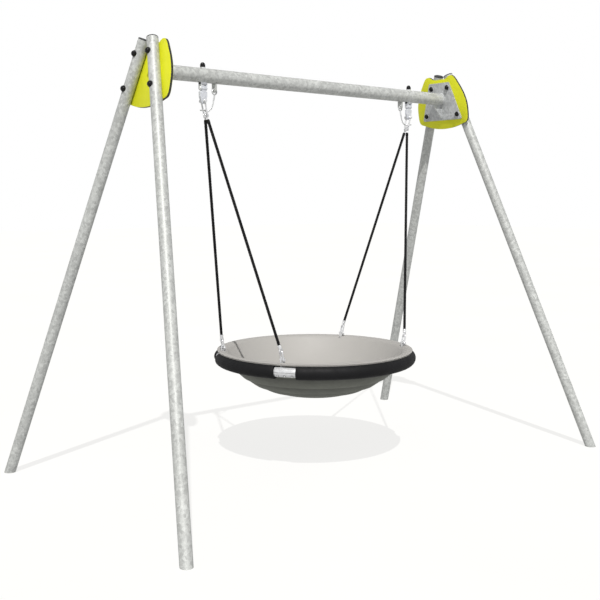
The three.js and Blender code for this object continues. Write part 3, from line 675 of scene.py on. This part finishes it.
ZINC = galvanised("zinc_tube", rgb(0.53, 0.543, 0.53))
ZINC_BAR = galvanised("zinc_bar", rgb(0.57, 0.583, 0.57))
ZINC_PLATE = galvanised("zinc_plate", rgb(0.51, 0.525, 0.53))
STAINLESS = stainless("satin_stainless")
CAST = cast_steel("plated_casting")
YELLOW = board_face("yellow_board")
CORE = board_core("board_core")
BLACK_CAP = moulded_plastic("black_cap", rgb(0.004, 0.004, 0.005), 0.2)
GREY_PLUG = moulded_plastic("grey_plug", rgb(0.04, 0.042, 0.044), 0.5)
BRONZE = sintered_bronze("sintered_bronze")
ROPE_YARN = yarn("rope_yarn", rgb(0.007, 0.007, 0.0075), 160.0, 0.62, Specular_IOR_Level=0.2)
CABLE_WIRE = yarn("cable_wire", rgb(0.68, 0.69, 0.7), 400.0, 0.4, Metallic=0.4)
BUMPER_RUBBER = bumper_rubber("bumper_rubber")
BOWL_TOP = bowl_top("bowl_top")
BOWL_UNDERSIDE = bowl_underside("bowl_underside")


# ---- placing pieces

def put(mesh, place, node, body, slot, *materials):
    """A copy of a mesh in its place, riding on a body and standing for a CAD node."""
    copy = mesh.copy()
    copy.transform(place)
    if place.determinant() < 0:
        copy.flip_normals()
    for material in materials:
        copy.materials.append(material)
    piece = new_object(node + "_look", copy)
    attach(piece, body)
    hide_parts(node)


def put_all(places, mesh, node, body, slot, *materials):
    """A copy of a mesh at each side or corner, riding on that side's body."""
    for where, place in places.items():
        side = where.split("_")[-1]
        put(mesh, place, f"{node}_{where}", body.format(side=side), slot, *materials)


# ---- end frames

def leg():
    """A pipe cut square at its top and level with the ground at its foot."""
    edge = 0.8 * MM
    length = (LEG_FOOT - LEG_TOP).length
    loop = rounded([
        (LEG_BORE, 0, edge), (LEG_RADIUS, 0, edge), (LEG_RADIUS, length, 0), (LEG_BORE, length, 0),
    ])
    shell = revolve([(point.x, point.y) for point in loop], 64)

    def onto_ground(point):
        beyond = LEG_TOP.z / -LEG_DOWN.z * 0.9
        if (point - LEG_TOP).dot(LEG_DOWN) < beyond:
            return point
        return point - LEG_DOWN * (point.z / LEG_DOWN.z)

    return to_mesh("leg", [shell.moved(*LEG_PLACE).shaped(onto_ground)])


def leg_plug():
    """A dark plug in the leg's top end, with a rounded flange over the tube's wall."""
    flange, depth, bevel, chamfer, crown, overlap = mm(6, 18, 3, 0.9, 0.4, 0.1)
    radius = LEG_BORE - GAP
    profile = [
        (0, crown - flange), (0.6 * LEG_RADIUS, -flange), (LEG_RADIUS - bevel, -flange),
        (LEG_RADIUS - chamfer, chamfer - flange), (LEG_RADIUS, bevel - flange), (LEG_RADIUS, -overlap),
        (radius, -overlap), (radius, depth), (0, depth),
    ]
    return to_mesh("leg_plug", [revolve(profile)], *LEG_PLACE)


def panel_outline():
    """The panel's edge in the gable's YZ plane: two low humps on top, straight flanks and a bowed foot."""
    half, top, foot = PANEL_HIGH.y, PANEL_HIGH.z, PANEL_LOW.z
    dip = Vector((38 * MM, top - 21 * MM))
    hump = Vector((95 * MM, top))
    shoulder = Vector((150 * MM, top - 51 * MM))
    widest = Vector((half, top - 216 * MM))
    corner = Vector((176 * MM, foot + 32 * MM))
    bottom = Vector((0, foot))
    stretches = [
        (dip, (26, 0), (-26, 0), hump),
        (hump, (24, 0), (-20, 32), shoulder),
        (shoulder, (30, -46), (0, 62), widest),
        (widest, (0, -60), (36, 6), corner),
        (corner, (-60, -20), (70, 0), bottom),
    ]
    outline = []
    for start, first, second, stop in stretches:
        handles = start + Vector(first) * MM, stop + Vector(second) * MM
        outline += interpolate_bezier(start, *handles, stop, 13)[:-1]
    other = [Vector((-point.x, point.y)) for point in reversed(outline)]
    return outline + [bottom] + other


IN_GABLE = GABLE @ FACING_X


def panel():
    """A board with yellow faces and a dark middle layer that shows all round its edge."""
    board = slab(panel_outline(), PANEL_LOW.x, PANEL_HIGH.x, 1.2 * MM, side_look=1)
    return to_mesh("panel", [board], IN_GABLE)


def end_plate():
    """The steel plate, the gusset under the crossbar and the weld beads round both."""
    top, foot = PLATE_HIGH.z, PLATE_LOW.z
    top_half, foot_half, corner = 84 * MM, PLATE_HIGH.y, 9 * MM
    outline = rounded([
        (-top_half, top, corner), (-foot_half, foot, corner),
        (foot_half, foot, corner), (top_half, top, corner),
    ])
    shells = [slab(outline, PLATE_FACE, PLATE_HIGH.x, 1 * MM).moved(IN_GABLE)]
    shells += gusset()
    shells.append(weld_bead(bar_end_loop(1 * MM), 4.5 * MM, closed=True))
    return to_mesh("end_plate", shells)


def plate_face_x(z):
    """World X of the plate's inner face at a height."""
    return LEG_TOP.x + (PLATE_FACE - (z - LEG_TOP.z) * sin(SLOPE)) / cos(SLOPE)


def bar_end_loop(outset):
    """The line where the crossbar's outside meets the plate."""
    return [Vector((plate_face_x(BAR_Z + z), y, BAR_Z + z)) for y, z in circle(BAR_RADIUS + outset, 96)]


WELD_RADIUS = 2.6 * MM


def gusset():
    """The triangular rib under the crossbar's end, with weld beads along the bar and the plate."""
    reach, height, toe, tip_inset, half = mm(70, 86, 12, 18, 6)
    inboard = plate_face_x(BAR_Z) - reach
    root, tip = BAR_UNDERSIDE + 2 * MM, BAR_UNDERSIDE - height
    into_plate = 4 * MM
    corners = [
        (inboard, root, 0), (plate_face_x(root) + into_plate, root, 0),
        (plate_face_x(tip) + into_plate, tip, 0), (plate_face_x(BAR_Z) + tip_inset, tip, 1.5 * MM),
        (inboard, BAR_UNDERSIDE - toe, 1.5 * MM),
    ]
    shells = [slab(rounded(corners), -half, half, 0.8 * MM).moved(FACING_Y)]
    for side in (-1, 1):
        y = side * (half + 0.5 * MM)
        start = Vector((inboard, y, BAR_UNDERSIDE))
        corner = Vector((plate_face_x(BAR_UNDERSIDE), y, BAR_UNDERSIDE))
        stop = Vector((plate_face_x(tip), y, tip + 4 * MM))
        for line in ((start, corner), (corner, stop)):
            shells.append(weld_bead(straight_path(*line, WELD_RADIUS / 2), WELD_RADIUS))
    return shells


def cap_profile(radius, height, skirt, foot):
    """A domed cap above a straight skirt, from its hidden foot up to its apex."""
    profile = [(0, foot), (radius, foot), (radius, skirt * 0.6), (radius * 0.985, skirt * 0.85)]
    profile.append((radius * 0.93, skirt))
    shoulder, steps = radius * 0.86, 12
    for step in range(steps + 1):
        angle = pi / 2 * step / steps
        ring = shoulder * cos(angle) if step < steps else 0
        profile.append((ring, skirt + (height - skirt) * sin(angle)))
    return profile


def bolt_centre(node):
    """Middle of a leg's bolt and the height of its cap's apex, in the gable's axes."""
    low, high = corners_in(node, GABLE)
    return (low.y + high.y) / 2, (low.z + high.z) / 2, high.x


CAP_RADIUS, CAP_HEIGHT, CAP_SKIRT = mm(16.5, 15, 4.5)


def leg_bolt(level):
    """A domed cap on the leg, with the bolt's shank behind it."""
    y, z, apex = bolt_centre(f"leg_bolt_{level}_rear_right")
    cap = revolve(cap_profile(CAP_RADIUS, CAP_HEIGHT, CAP_SKIRT, foot=-8 * MM))
    shank_radius, shank_length = mm(6, 76)
    shank = rod(shank_radius, -shank_length, 0, 24)
    return to_mesh("leg_bolt", [cap, shank], GABLE @ shift((apex - CAP_HEIGHT, y, z)) @ ALONG_X)


def leg_nut(level):
    """A domed cap over the nut, on a thin washer against the plate."""
    y, z, _ = bolt_centre(f"leg_nut_{level}_rear_right")
    cap = revolve(cap_profile(CAP_RADIUS, CAP_HEIGHT, CAP_SKIRT, foot=0.8 * MM))
    washer = revolve(mm((0, 0), (18.5, 0), (18.5, 1.1), (17.9, 1.6), (0, 1.6)))
    place = GABLE @ shift((PLATE_FACE, y, z)) @ ALONG_X.inverted()
    return to_mesh("leg_nut", [cap, washer.looking(1)], place)


def add_end_frames():
    put_all(CORNERS, leg(), "leg", "frame", "galvanised_steel", ZINC)
    put_all(CORNERS, leg_plug(), "leg_plug", "frame", "grey_plug", GREY_PLUG)
    put_all(SIDES, panel(), "panel", "frame", "yellow_board", YELLOW, CORE)
    put_all(SIDES, end_plate(), "end_plate", "frame", "galvanised_steel", ZINC_PLATE)
    for level in ("upper", "lower"):
        put_all(CORNERS, leg_bolt(level), f"leg_bolt_{level}", "frame", "black_cap", BLACK_CAP)
        put_all(CORNERS, leg_nut(level), f"leg_nut_{level}", "frame", "black_cap", BLACK_CAP, STAINLESS)


# ---- crossbar

LUG_X = PIVOT.x - 74 * MM
LUG_RADIUS, LUG_HALF = mm(19, 4)
AT_LUG = shift((LUG_X, 0, PIVOT.z))


def crossbar():
    """The pipe between the plates, with a drilled lug welded under it beside each hanger."""
    bore, reach = BAR_RADIUS - BAR_WALL, 1
    tube = revolve([(bore, -reach), (BAR_RADIUS, -reach), (BAR_RADIUS, reach), (bore, reach)], 64)

    def onto_plates(point):
        return Vector((copysign(plate_face_x(point.z) - GAP, point.x), point.y, point.z))

    place = shift((0, 0, BAR_Z)) @ ALONG_X
    shells = [tube.moved(place).shaped(onto_plates)]
    for turn in SIDES.values():
        shells += [shell.moved(turn) for shell in lug_welds()]
    body = to_mesh("crossbar", shells)
    lugs = to_mesh("lugs", [lug().moved(turn) for turn in SIDES.values()])
    holes = [lug_hole().moved(turn) for turn in SIDES.values()]
    return joined(body, cut(lugs, holes))


def joined(*meshes):
    """Several meshes as one."""
    work = bmesh.new()
    for mesh in meshes:
        work.from_mesh(mesh)
    result = bpy.data.meshes.new(meshes[0].name)
    work.to_mesh(result)
    work.free()
    soften(result)
    return result


def lug():
    """A round-ended plate under the bar, square to it, with its hole on the pivot's axis."""
    outline = tongue(LUG_RADIUS, BAR_UNDERSIDE - PIVOT.z + 3 * MM)
    return slab(outline, -LUG_HALF, LUG_HALF, 0.8 * MM).moved(FACING_X, AT_LUG)


def lug_hole():
    radius, reach = mm(9, 20)
    return rod(radius, -reach, reach).moved(ALONG_X, AT_LUG)


def lug_welds():
    """A bead along each side of the lug's root."""
    beads, half_steps = [], 16
    for side in (-1, 1):
        x = LUG_X + side * (LUG_HALF + 0.5 * MM)
        line = []
        for step in range(-half_steps, half_steps + 1):
            y = step / half_steps * LUG_RADIUS
            line.append(Vector((x, y, BAR_Z - sqrt(BAR_RADIUS ** 2 - y ** 2))))
        beads.append(weld_bead(line, WELD_RADIUS))
    return beads


# ---- hangers

EYE_DROP = PIVOT.z - SWAY_PIN.z


def hanger_clevis():
    """The fork under the bar: a saddle with two ears, and the threaded stud that comes out on top."""
    ear_radius, ear_inner, ear_outer = mm(13, 14, 20)
    saddle_low = 18 * MM
    saddle_high = BAR_UNDERSIDE - PIVOT.z + 5 * MM
    outline = tongue(ear_radius, saddle_high)
    thickness, edge = ear_outer - ear_inner, 1 * MM
    ears = [slab(outline, low, low + thickness, edge).moved(FACING_X) for low in (ear_inner, -ear_outer)]
    block = rectangle(ear_outer, ear_radius, -ear_outer, -ear_radius, 3 * MM)
    saddle = slab(block, saddle_low, saddle_high, 1.5 * MM)
    stud_radius, stud_top = 8 * MM, BAR_TOP + 12 * MM - PIVOT.z
    stud = rod(stud_radius, saddle_low, stud_top, 24)
    return to_mesh("hanger_clevis", [*ears, saddle, stud], shift(PIVOT))


def hanger_nut():
    """The domed nut on top of the bar, on a bright washer."""
    radius, height, skirt, foot = mm(14, 30, 20, 4)
    cap = revolve(cap_profile(radius, height, skirt, foot))
    washer = revolve(mm((0, -4), (15.5, -4), (15.5, 3.2), (14.7, 4), (0, 4)))
    return to_mesh("hanger_nut", [cap, washer.looking(1)], shift((PIVOT.x, 0, BAR_TOP)))


def pivot_pin():
    """The pivot: a pin with a domed head at one end and a hexagon nut at the other."""
    reach, radius, head_radius, bevel = mm(20.3, 6, 10, 1)
    tip = reach + 4 * MM
    head = [(0, reach), (head_radius, reach), (head_radius, reach + bevel)]
    head += [(0.85 * head_radius, tip - bevel), (0.5 * head_radius, tip), (0, tip)]
    nut = [(0, -tip), (0.88 * head_radius, -tip), (head_radius, bevel - tip)]
    nut += [(head_radius, -reach), (0, -reach)]
    shells = [revolve(head), rod(radius, -reach, reach, 24), revolve(nut, 6)]
    return to_mesh("pivot_pin", shells, ALONG_X, shift(PIVOT))


def pendulum():
    """The swinging arm, cast in one: a hub on the pivot, broad shoulders and a rounded eye."""
    hub_half, hub_radius, bevel = mm(13.6, 13, 1)
    shoulder_half, body_half, eye_radius = mm(23, 8, 15)
    top, bottom = mm(17, 46)
    left = [
        (-hub_half, 0, 0), (-hub_half, -top, 0), (-shoulder_half, -top, 3 * MM),
        (-shoulder_half, -bottom, 8 * MM), (-eye_radius, -EYE_DROP, 6 * MM),
        (-0.6 * eye_radius, -EYE_DROP - 0.95 * eye_radius, 7 * MM),
    ]
    right = [(-x, y, radius) for x, y, radius in reversed(left)]
    outline = rounded(right[-1:] + left + right[:-1])
    body = slab(outline, -body_half, body_half, 2 * MM).moved(FACING_Y)
    hub = revolve([
        (0, -hub_half), (hub_radius - bevel, -hub_half), (hub_radius, bevel - hub_half),
        (hub_radius, hub_half - bevel), (hub_radius - bevel, hub_half), (0, hub_half),
    ]).moved(ALONG_X)
    return cast(to_mesh("pendulum", [body, hub], shift(PIVOT)), 0.9 * MM)


def cross_pin(pin_radius, half, head_radius, head_length):
    """A pin along Y: a hexagon head at one end and a domed one at the other."""
    inner, outer = half - 0.1 * MM, half + head_length
    head = [(0, inner), (head_radius, inner), (head_radius, outer - 1 * MM)]
    head += [(head_radius - 1.2 * MM, outer), (0, outer)]
    dome = [(0, -outer), (0.6 * head_radius, -outer), (0.9 * head_radius, 2 * MM - outer)]
    dome += [(head_radius, -inner), (0, -inner)]
    shells = [rod(pin_radius, -half, half, 24), revolve(head, 6), revolve(dome, 32)]
    return [shell.moved(ALONG_Y) for shell in shells]


# ---- shackles, cable and ropes

SHACKLE_WIRE, SHACKLE_HALF, SHACKLE_FOOT, SHACKLE_BEND, SHACKLE_DROP = mm(4.5, 17, 15, 9, 77)
LINK_WIRE, LINK_HALF, LINK_HEIGHT = mm(4.5, 10, 50)
ROPE_RADIUS, EYE_RADIUS, EYE_TUBE, EYE_SPREAD = mm(8.4, 11, 3, 7)


def shackle_half_width(depth):
    """Half the upper shackle's width, between its wires' centres, at a depth under its pin."""
    shoulder = 15 * MM
    share = min(1, max(0, (depth - shoulder) / (SHACKLE_DROP - SHACKLE_BEND - shoulder)))
    eased = share * share * (3 - 2 * share)
    return SHACKLE_HALF + (SHACKLE_FOOT - SHACKLE_HALF) * eased


def shackle_point(depth):
    return SWAY_PIN + LEAN @ Vector((0, 0, -depth))


def bow(half_width, bend, straight):
    """A shackle's bow in the YZ plane: down one leg, round two bends and up the other leg."""
    leg_steps, bend_steps = 14, 10
    depths = [straight * i / leg_steps for i in range(leg_steps)]
    half = [Vector((0, half_width(depth), -depth)) for depth in depths]
    centre = half_width(straight) - bend
    half += [Vector((0, centre + y, -straight - z)) for y, z in arc(bend, 0, pi / 2, bend_steps)]
    other = [Vector((0, -point.y, point.z)) for point in reversed(half)]
    return half + (other if centre > 0 else other[1:])


def upper_shackle():
    """The long shackle under the arm, leaning inboard with the ropes."""
    path = bow(shackle_half_width, SHACKLE_BEND, SHACKLE_DROP - SHACKLE_BEND)
    pin_radius, half, head_radius, head_length = mm(6, 24, 9, 5)
    pin = cross_pin(pin_radius, half, head_radius, head_length)
    shells = [sweep(path, SHACKLE_WIRE, 16)] + pin
    boss = revolve(mm((0, -5), (8.5, -5), (9.5, -4), (9.5, 4), (8.5, 5), (0, 5)), 32)
    boss_middle = 18.5 * MM
    for y in (-boss_middle, boss_middle):
        shells.append(boss.moved(ALONG_Y, shift((0, y, 0))))
    return to_mesh("upper_shackle", shells, shift(SWAY_PIN) @ LEAN)


def lower_shackle():
    """The small shackle on a clamp's eye, bow upwards."""
    path = bow(lambda depth: LINK_HALF, LINK_HALF, LINK_HEIGHT - LINK_HALF)
    pin_radius, half, head_radius, head_length = mm(5, 16, 8, 4)
    pin = cross_pin(pin_radius, half, head_radius, head_length)
    link = sweep(path, LINK_WIRE, 16).moved(Matrix.Rotation(pi, 4, "X"))
    return to_mesh("lower_shackle", [link] + pin, shift(CLAMP_EYE) @ LEAN)


def rope_ends(end):
    """Centres of a rope's top and bottom eyes, in the right half's place: +1 is the rear rope."""
    top = shackle_point(SHACKLE_DROP)
    top.y = end * EYE_SPREAD
    foot = CLAMP_EYE + LEAN @ Vector((0, 0, LINK_HEIGHT))
    foot.y = end * CLAMP_EYE.y
    return top, foot


def rope(end):
    """Six strands round a core, between a thimble eye at the top and a pressed ferrule at the bottom."""
    top, foot = rope_ends(end)
    up = (top - foot).normalized()
    neck = top - up * 28 * MM
    ferrule_top = foot + up * 34 * MM
    lay, step = mm(96, 6)
    strand_foot = ferrule_top - up * 6 * MM
    shells = laid(straight_path(strand_foot, neck, step), ROPE_RADIUS, 6, lay)
    sleeve = [neck - up * 16 * MM, neck - up * 14 * MM, neck, top - up * 22 * MM]
    shells.append(sweep(sleeve, mm(7.5, 9, 8.6, 6.6), 24))
    shells.append(sweep([neck, top - up * 12 * MM], mm(6, 4.2), 24).looking(1))
    for centre in (top, foot):
        eye = circle_path(centre, EYE_RADIUS, Y_AXIS)
        shells.append(sweep(eye, EYE_TUBE, 12, closed=True).looking(1))
    shells.append(ferrule(foot + up * 11 * MM, ferrule_top).looking(1))
    return to_mesh("rope", shells)


def ferrule(start, stop):
    """A pressed sleeve with rounded ends and two crimped waists."""
    stations = [(0, 4), (0.02, 7), (0.08, 9.2), (0.2, 9.9), (0.32, 9.9), (0.38, 9.2), (0.44, 9.9)]
    stations += [(0.6, 9.9), (0.66, 9.2), (0.72, 9.9), (0.92, 9.9), (0.98, 9.2), (1, 8)]
    path = [start.lerp(stop, share) for share, _ in stations]
    return sweep(path, [radius * MM for _, radius in stations], 24)


def safety_cable():
    """The slack cable: an eye in the crossbar's lug, a laid strand and an eye round the shackle's leg."""
    top_ring, end_ring, radius, slack, depth = mm(14, 14.5, 3.8, 14, 48)
    lay, crimp_radius = mm(22, 4.8)
    end = shackle_point(depth)
    end.y = -shackle_half_width(depth)
    top = Vector((LUG_X, 0, PIVOT.z - top_ring))
    start = top - Vector((0, 0, top_ring))
    stop = end - Vector((end_ring, 0, 0))
    knots = [
        start,
        (LUG_X + slack / 5, end.y / 4, (start.z + end.z) / 2 + slack),
        (LUG_X + slack, end.y / 2, end.z + slack),
        ((LUG_X + stop.x) / 2 + slack, end.y, end.z - slack / 2),
        stop,
    ]
    strand = smooth_path(knots, 14)
    shells = laid(strand, radius, 6, lay, 6)
    shells.append(sweep(circle_path(top, top_ring, Y_AXIS), radius, 10, closed=True))
    shells.append(sweep(circle_path(end, end_ring, Z_AXIS), 0.8 * radius, 10, closed=True))
    for crimp in (strand[2:14], strand[-10:-2]):
        shells.append(sweep(crimp, crimp_radius, 16).looking(1))
    return to_mesh("safety_cable", shells)


def add_hangers():
    put_all(SIDES, hanger_clevis(), "hanger_clevis", "frame", "stainless_steel", CAST)
    put_all(SIDES, hanger_nut(), "hanger_nut", "frame", "black_cap", BLACK_CAP, STAINLESS)
    put_all(SIDES, pivot_pin(), "pivot_pin", "frame", "stainless_steel", STAINLESS)
    put_all(SIDES, pendulum(), "pendulum", "hanger_{side}", "cast_steel", CAST)
    put_all(SIDES, safety_cable(), "safety_cable", "hanger_{side}", "steel_cable", CABLE_WIRE, STAINLESS)
    put_all(SIDES, upper_shackle(), "upper_shackle", "ropes_{side}", "stainless_steel", STAINLESS)
    put_all(CORNERS, lower_shackle(), "lower_shackle", "ropes_{side}", "stainless_steel", STAINLESS)
    for corner, place in CORNERS.items():
        side = corner.split("_")[1]
        end = -1 if place.determinant() < 0 else 1
        put(rope(end), SIDES[side], f"rope_{corner}", f"ropes_{side}", "black_rope", ROPE_YARN, STAINLESS)


# ---- seat

def dish(radius, wall, low, high):
    """Height of a dished surface: nearly flat in the middle and steep where it reaches its wall."""
    power = 2.9
    return low + (high - low) * (radius / wall) ** power


def ridge(radius):
    """How far the underside's ridges stand proud at a radius."""
    depth, rise = 7 * MM, 0.88
    share = (radius / RIDGE_PITCH) % 1
    return depth * (share / rise if share < rise else (1 - share) / (1 - rise))


def rim_arc(radius, first_degrees):
    """The rim's section over the bumper, from its inner side outwards."""
    last_degrees = 66
    section = arc(radius, radians(first_degrees), radians(last_degrees), 20)
    return [(RING_RADIUS + x, RING_Z + z) for x, z in section]


def bowl():
    """The dished seat: a smooth inside, a rim rolled over the bumper and a ridged underside."""
    wall, wall_z, thickness = mm(500, 575, 12)
    first_ridge, last_ridge = mm(120, 475)
    rim_under = rim_arc(BUMPER_RADIUS + 0.8 * MM, 180)
    rim_over = rim_arc(BUMPER_RADIUS + 10.2 * MM, 144)
    steps = 150
    outside = []
    for i in range(steps + 1):
        radius = wall * i / steps
        proud = ridge(radius) if first_ridge < radius < last_ridge else 0
        outside.append((radius, dish(radius, wall, BOWL_BOTTOM, wall_z) + proud))
    lip, lip_z = rim_over[0]
    radii = [lip * i / steps for i in range(steps)]
    inside = [(radius, dish(radius, lip, BOWL_BOTTOM + thickness, lip_z)) for radius in radii]
    profile = outside + rim_under + rim_over[::-1] + inside[::-1]
    slots = [slot_tool(corner) for corner in CORNERS.values()]
    mesh = cut(to_mesh("seat_bowl", [revolve(profile, 144)], sharp_degrees=50), slots)
    # Faces that look down inside the ring take the underside's darker material: painted shade.
    for face in mesh.polygons:
        is_underside = face.normal.z < 0 and face.center.xy.length < RING_RADIUS
        face.material_index = 1 if is_underside else 0
    return mesh


def slot_tool(corner):
    """The slot in the rim that a clamp's eye comes up through."""
    outline = rectangle(*mm(-22, -7, 30, 7, 6))
    low, high, edge = mm(20, 60, 0.5)
    tool = slab(outline, low, high, edge)
    return tool.moved(shift((CLAMP_EYE.x, CLAMP_EYE.y, RING_Z)), corner)


def bumper():
    """The rubber bumper round the hoop, waisted where the clamps grip it."""
    waist, lip, grip = mm(21, 1.5, 60.6)
    sides = 40
    half = grip / RING_RADIUS
    step_lip = lip / RING_RADIUS
    direction = Vector((cos(CLAMP_AZIMUTH), sin(CLAMP_AZIMUTH), 0))
    middles = [place @ direction for place in CORNERS.values()]
    centres = sorted(atan2(point.y, point.x) % (2 * pi) for point in middles)
    stations = []
    for here, there in zip(centres, centres[1:] + [centres[0] + 2 * pi]):
        start, stop = here + half, there - half
        span = stop - start - 2 * step_lip
        count = round((stop - start) / radians(2))
        plain = [start + step_lip + span * i / count for i in range(count + 1)]
        stations += [(here, waist), (start, waist), (start, BUMPER_RADIUS - lip)]
        stations += [(start + 0.3 * step_lip, BUMPER_RADIUS - 0.3 * lip)]
        stations += [(azimuth, BUMPER_RADIUS) for azimuth in plain]
        stations += [(stop - 0.3 * step_lip, BUMPER_RADIUS - 0.3 * lip)]
        stations += [(stop, BUMPER_RADIUS - lip), (stop, waist)]
    points, faces = [], []
    for azimuth, radius in stations:
        for x, z in circle(radius, sides):
            reach = RING_RADIUS + x
            points.append((reach * cos(azimuth), reach * sin(azimuth), RING_Z + z))
    for i in range(len(stations)):
        faces += quads(i * sides, ((i + 1) % len(stations)) * sides, sides)
    return to_mesh("ring_bumper", [Shell(points, faces)])


def onto_ring(point):
    """Bends a straight clamp, modelled along Y about the origin, round the seat's ring."""
    angle = CLAMP_AZIMUTH + point.y / RING_RADIUS
    reach = RING_RADIUS + point.x
    return Vector((reach * cos(angle), reach * sin(angle), RING_Z + point.z))


def clamp():
    """A clamp in two halves, with an eye on top and three bolts low on its outside."""
    inner, outer, half, edge = mm(21.4, 28, 60, 1.2)
    loop = rounded([(inner, -half, 0), (outer, -half, edge), (outer, half, edge), (inner, half, 0)])
    loop = fine_along(loop, 12)
    half_turn, gap = 180, 2
    turns = [(first + gap, first + half_turn - gap) for first in (0, half_turn)]
    halves = [revolve(loop, 40, *turn).moved(ALONG_Y) for turn in turns]
    shells = [shell.shaped(onto_ring) for shell in halves]
    spacing = 40 * MM
    for way in (-1, 0, 1):
        shells += clamp_bolt(way * spacing, outer)
    shells += clamp_eye()
    return to_mesh("ring_clamp", shells)


def fine_along(loop, pieces):
    """A loop with its long edges split, so that it can be bent."""
    result = []
    for here, there in zip(loop, loop[1:] + loop[:1]):
        count = pieces if (there - here).length > 20 * MM else 1
        result += [here.lerp(there, i / count) for i in range(count)]
    return [(point.x, point.y) for point in result]


def clamp_bolt(along, outer):
    """A bolt head and its washer, 45 degrees below the clamp's outside."""
    head = revolve(mm((0, 0), (5.5, 0), (5.5, 2.8), (4.7, 3.8), (0, 4)), 36)
    washer = revolve(mm((0, -3), (7.5, -3), (7.5, 0.3), (7.1, 0.7), (0, 0.7)), 36)
    tilt, sunk = 135, 0.4 * MM
    place = shift((0, along, 0)) @ Matrix.Rotation(radians(tilt), 4, "Y") @ shift((0, 0, outer - sunk))
    return [shell.moved(place).shaped(onto_ring) for shell in (head, washer.looking(1))]


def clamp_eye():
    """The upright eye that the lower shackle's pin goes through, down to the sleeve's wall."""
    radius, half, hole_radius = mm(15.5, 4, 11.5)
    inboard_reach, middle_reach, outboard_reach = mm(63, 45, 41)
    outline = tongue(radius, outboard_reach)
    outline[0].y = inboard_reach
    outline.insert(1, Vector((0, middle_reach)))
    plate = slab(outline, -half, half, 1 * MM).moved(FACING_Y, Matrix.Rotation(pi, 4, "Y"))
    past = 5 * half
    hole = rod(hole_radius, -past, past).moved(ALONG_Y)
    mesh = cut(to_mesh("eye", [plate]), [hole])
    eye = Shell([vertex.co for vertex in mesh.vertices], [list(face.vertices) for face in mesh.polygons])
    return [eye.moved(shift(CLAMP_EYE))]


def add_seat():
    put(bowl(), IDENTITY, "seat_bowl", "seat", "grey_rubber", BOWL_TOP, BOWL_UNDERSIDE)
    put(bumper(), IDENTITY, "ring_bumper", "seat", "black_rubber", BUMPER_RUBBER)
    put_all(CORNERS, clamp(), "ring_clamp", "seat", "stainless_steel", STAINLESS, BLACK_CAP)


def finish_cad_nodes():
    """The CAD pieces that stay as they are get their materials."""
    kept = {"pivot_bush_right": BRONZE, "pivot_bush_left": BRONZE, "ring_hoop": ZINC}
    for node, material in kept.items():
        for slot in frame["nodes"][node].material_slots:
            slot.material = material


# ---- stage

SUN_FALL = Vector((0.49, 0.655, -1.0))
SUN_STRENGTH = 3.3
SUN_DEGREES_ACROSS = 0.7
CAMERA_AT = Vector((-3.6486, -4.1853, 1.5682))
CAMERA_HEADING = 0.7011
CAMERA_PITCH = 0.1077
CAMERA_LENS = 56.14
FLOOR_GLOW, FLOOR_GLOW_SEEN = 0.4, 0.82
HORIZON_GLOW, OVERHEAD_GLOW = 0.8, 0.15


def add_floor():
    """A wide pale floor that glows a little, so that it stays white and takes only faint shadows."""
    look = Look("pale_floor")
    tone = look.spread(look.noise(0.6, 3), 0.985, 1.0)
    seen = look.node("ShaderNodeLightPath").outputs["Is Camera Ray"]
    look.set(Base_Color=look.shaded(rgb(0.17, 0.17, 0.167), tone), Roughness=0.9)
    look.set(Emission_Color=look.shaded(rgb(1.0, 0.995, 0.98), tone))
    look.set(Emission_Strength=look.ranged(seen, FLOOR_GLOW, FLOOR_GLOW_SEEN), Specular_IOR_Level=0.0)
    reach = 40
    corners = [(-reach, -reach, 0), (reach, -reach, 0), (reach, reach, 0), (-reach, reach, 0)]
    mesh = bpy.data.meshes.new("floor")
    mesh.from_pydata(corners, [], [[0, 1, 2, 3]])
    mesh.materials.append(look.material)
    new_object("floor", mesh)


def add_world():
    """A white surround: brightest at the horizon for the light it gives, plain white to the camera."""
    world = bpy.data.worlds.new("surround")
    bpy.context.scene.world = world
    world.use_nodes = True
    steps = Nodes(world.node_tree)
    direction = steps.node("ShaderNodeTexCoord").outputs["Generated"]
    rise = steps.node("ShaderNodeSeparateXYZ", Vector=direction).outputs["Z"]
    glow = steps.ranged(rise, HORIZON_GLOW, OVERHEAD_GLOW)
    seen = steps.node("ShaderNodeLightPath").outputs["Is Camera Ray"]
    strength = steps.node("ShaderNodeMix", Factor=seen, A=glow, B=1.0).outputs["Result"]
    background = world.node_tree.nodes["Background"]
    background.inputs["Color"].default_value = rgb(1.0, 1.0, 1.0)
    steps.feed(background.inputs["Strength"], strength)


def add_sun():
    light = bpy.data.lights.new("key", "SUN")
    light.energy = SUN_STRENGTH
    light.angle = radians(SUN_DEGREES_ACROSS)
    light.color = (1.0, 0.985, 0.96)
    sun = new_object("key", light)
    sun.rotation_euler = SUN_FALL.to_track_quat("-Z", "Y").to_euler()


def add_camera():
    camera = bpy.data.cameras.new("camera")
    camera.lens = CAMERA_LENS
    camera.clip_end = 200
    holder = new_object("camera", camera)
    holder.location = CAMERA_AT
    holder.rotation_euler = (pi / 2 - CAMERA_PITCH, 0, -CAMERA_HEADING)
    bpy.context.scene.camera = holder


add_end_frames()
put(crossbar(), IDENTITY, "crossbar", "frame", "galvanised_steel", ZINC_BAR)
add_hangers()
add_seat()
finish_cad_nodes()
add_floor()
add_world()
add_sun()
add_camera()
bpy.context.scene.view_settings.view_transform = "Standard"
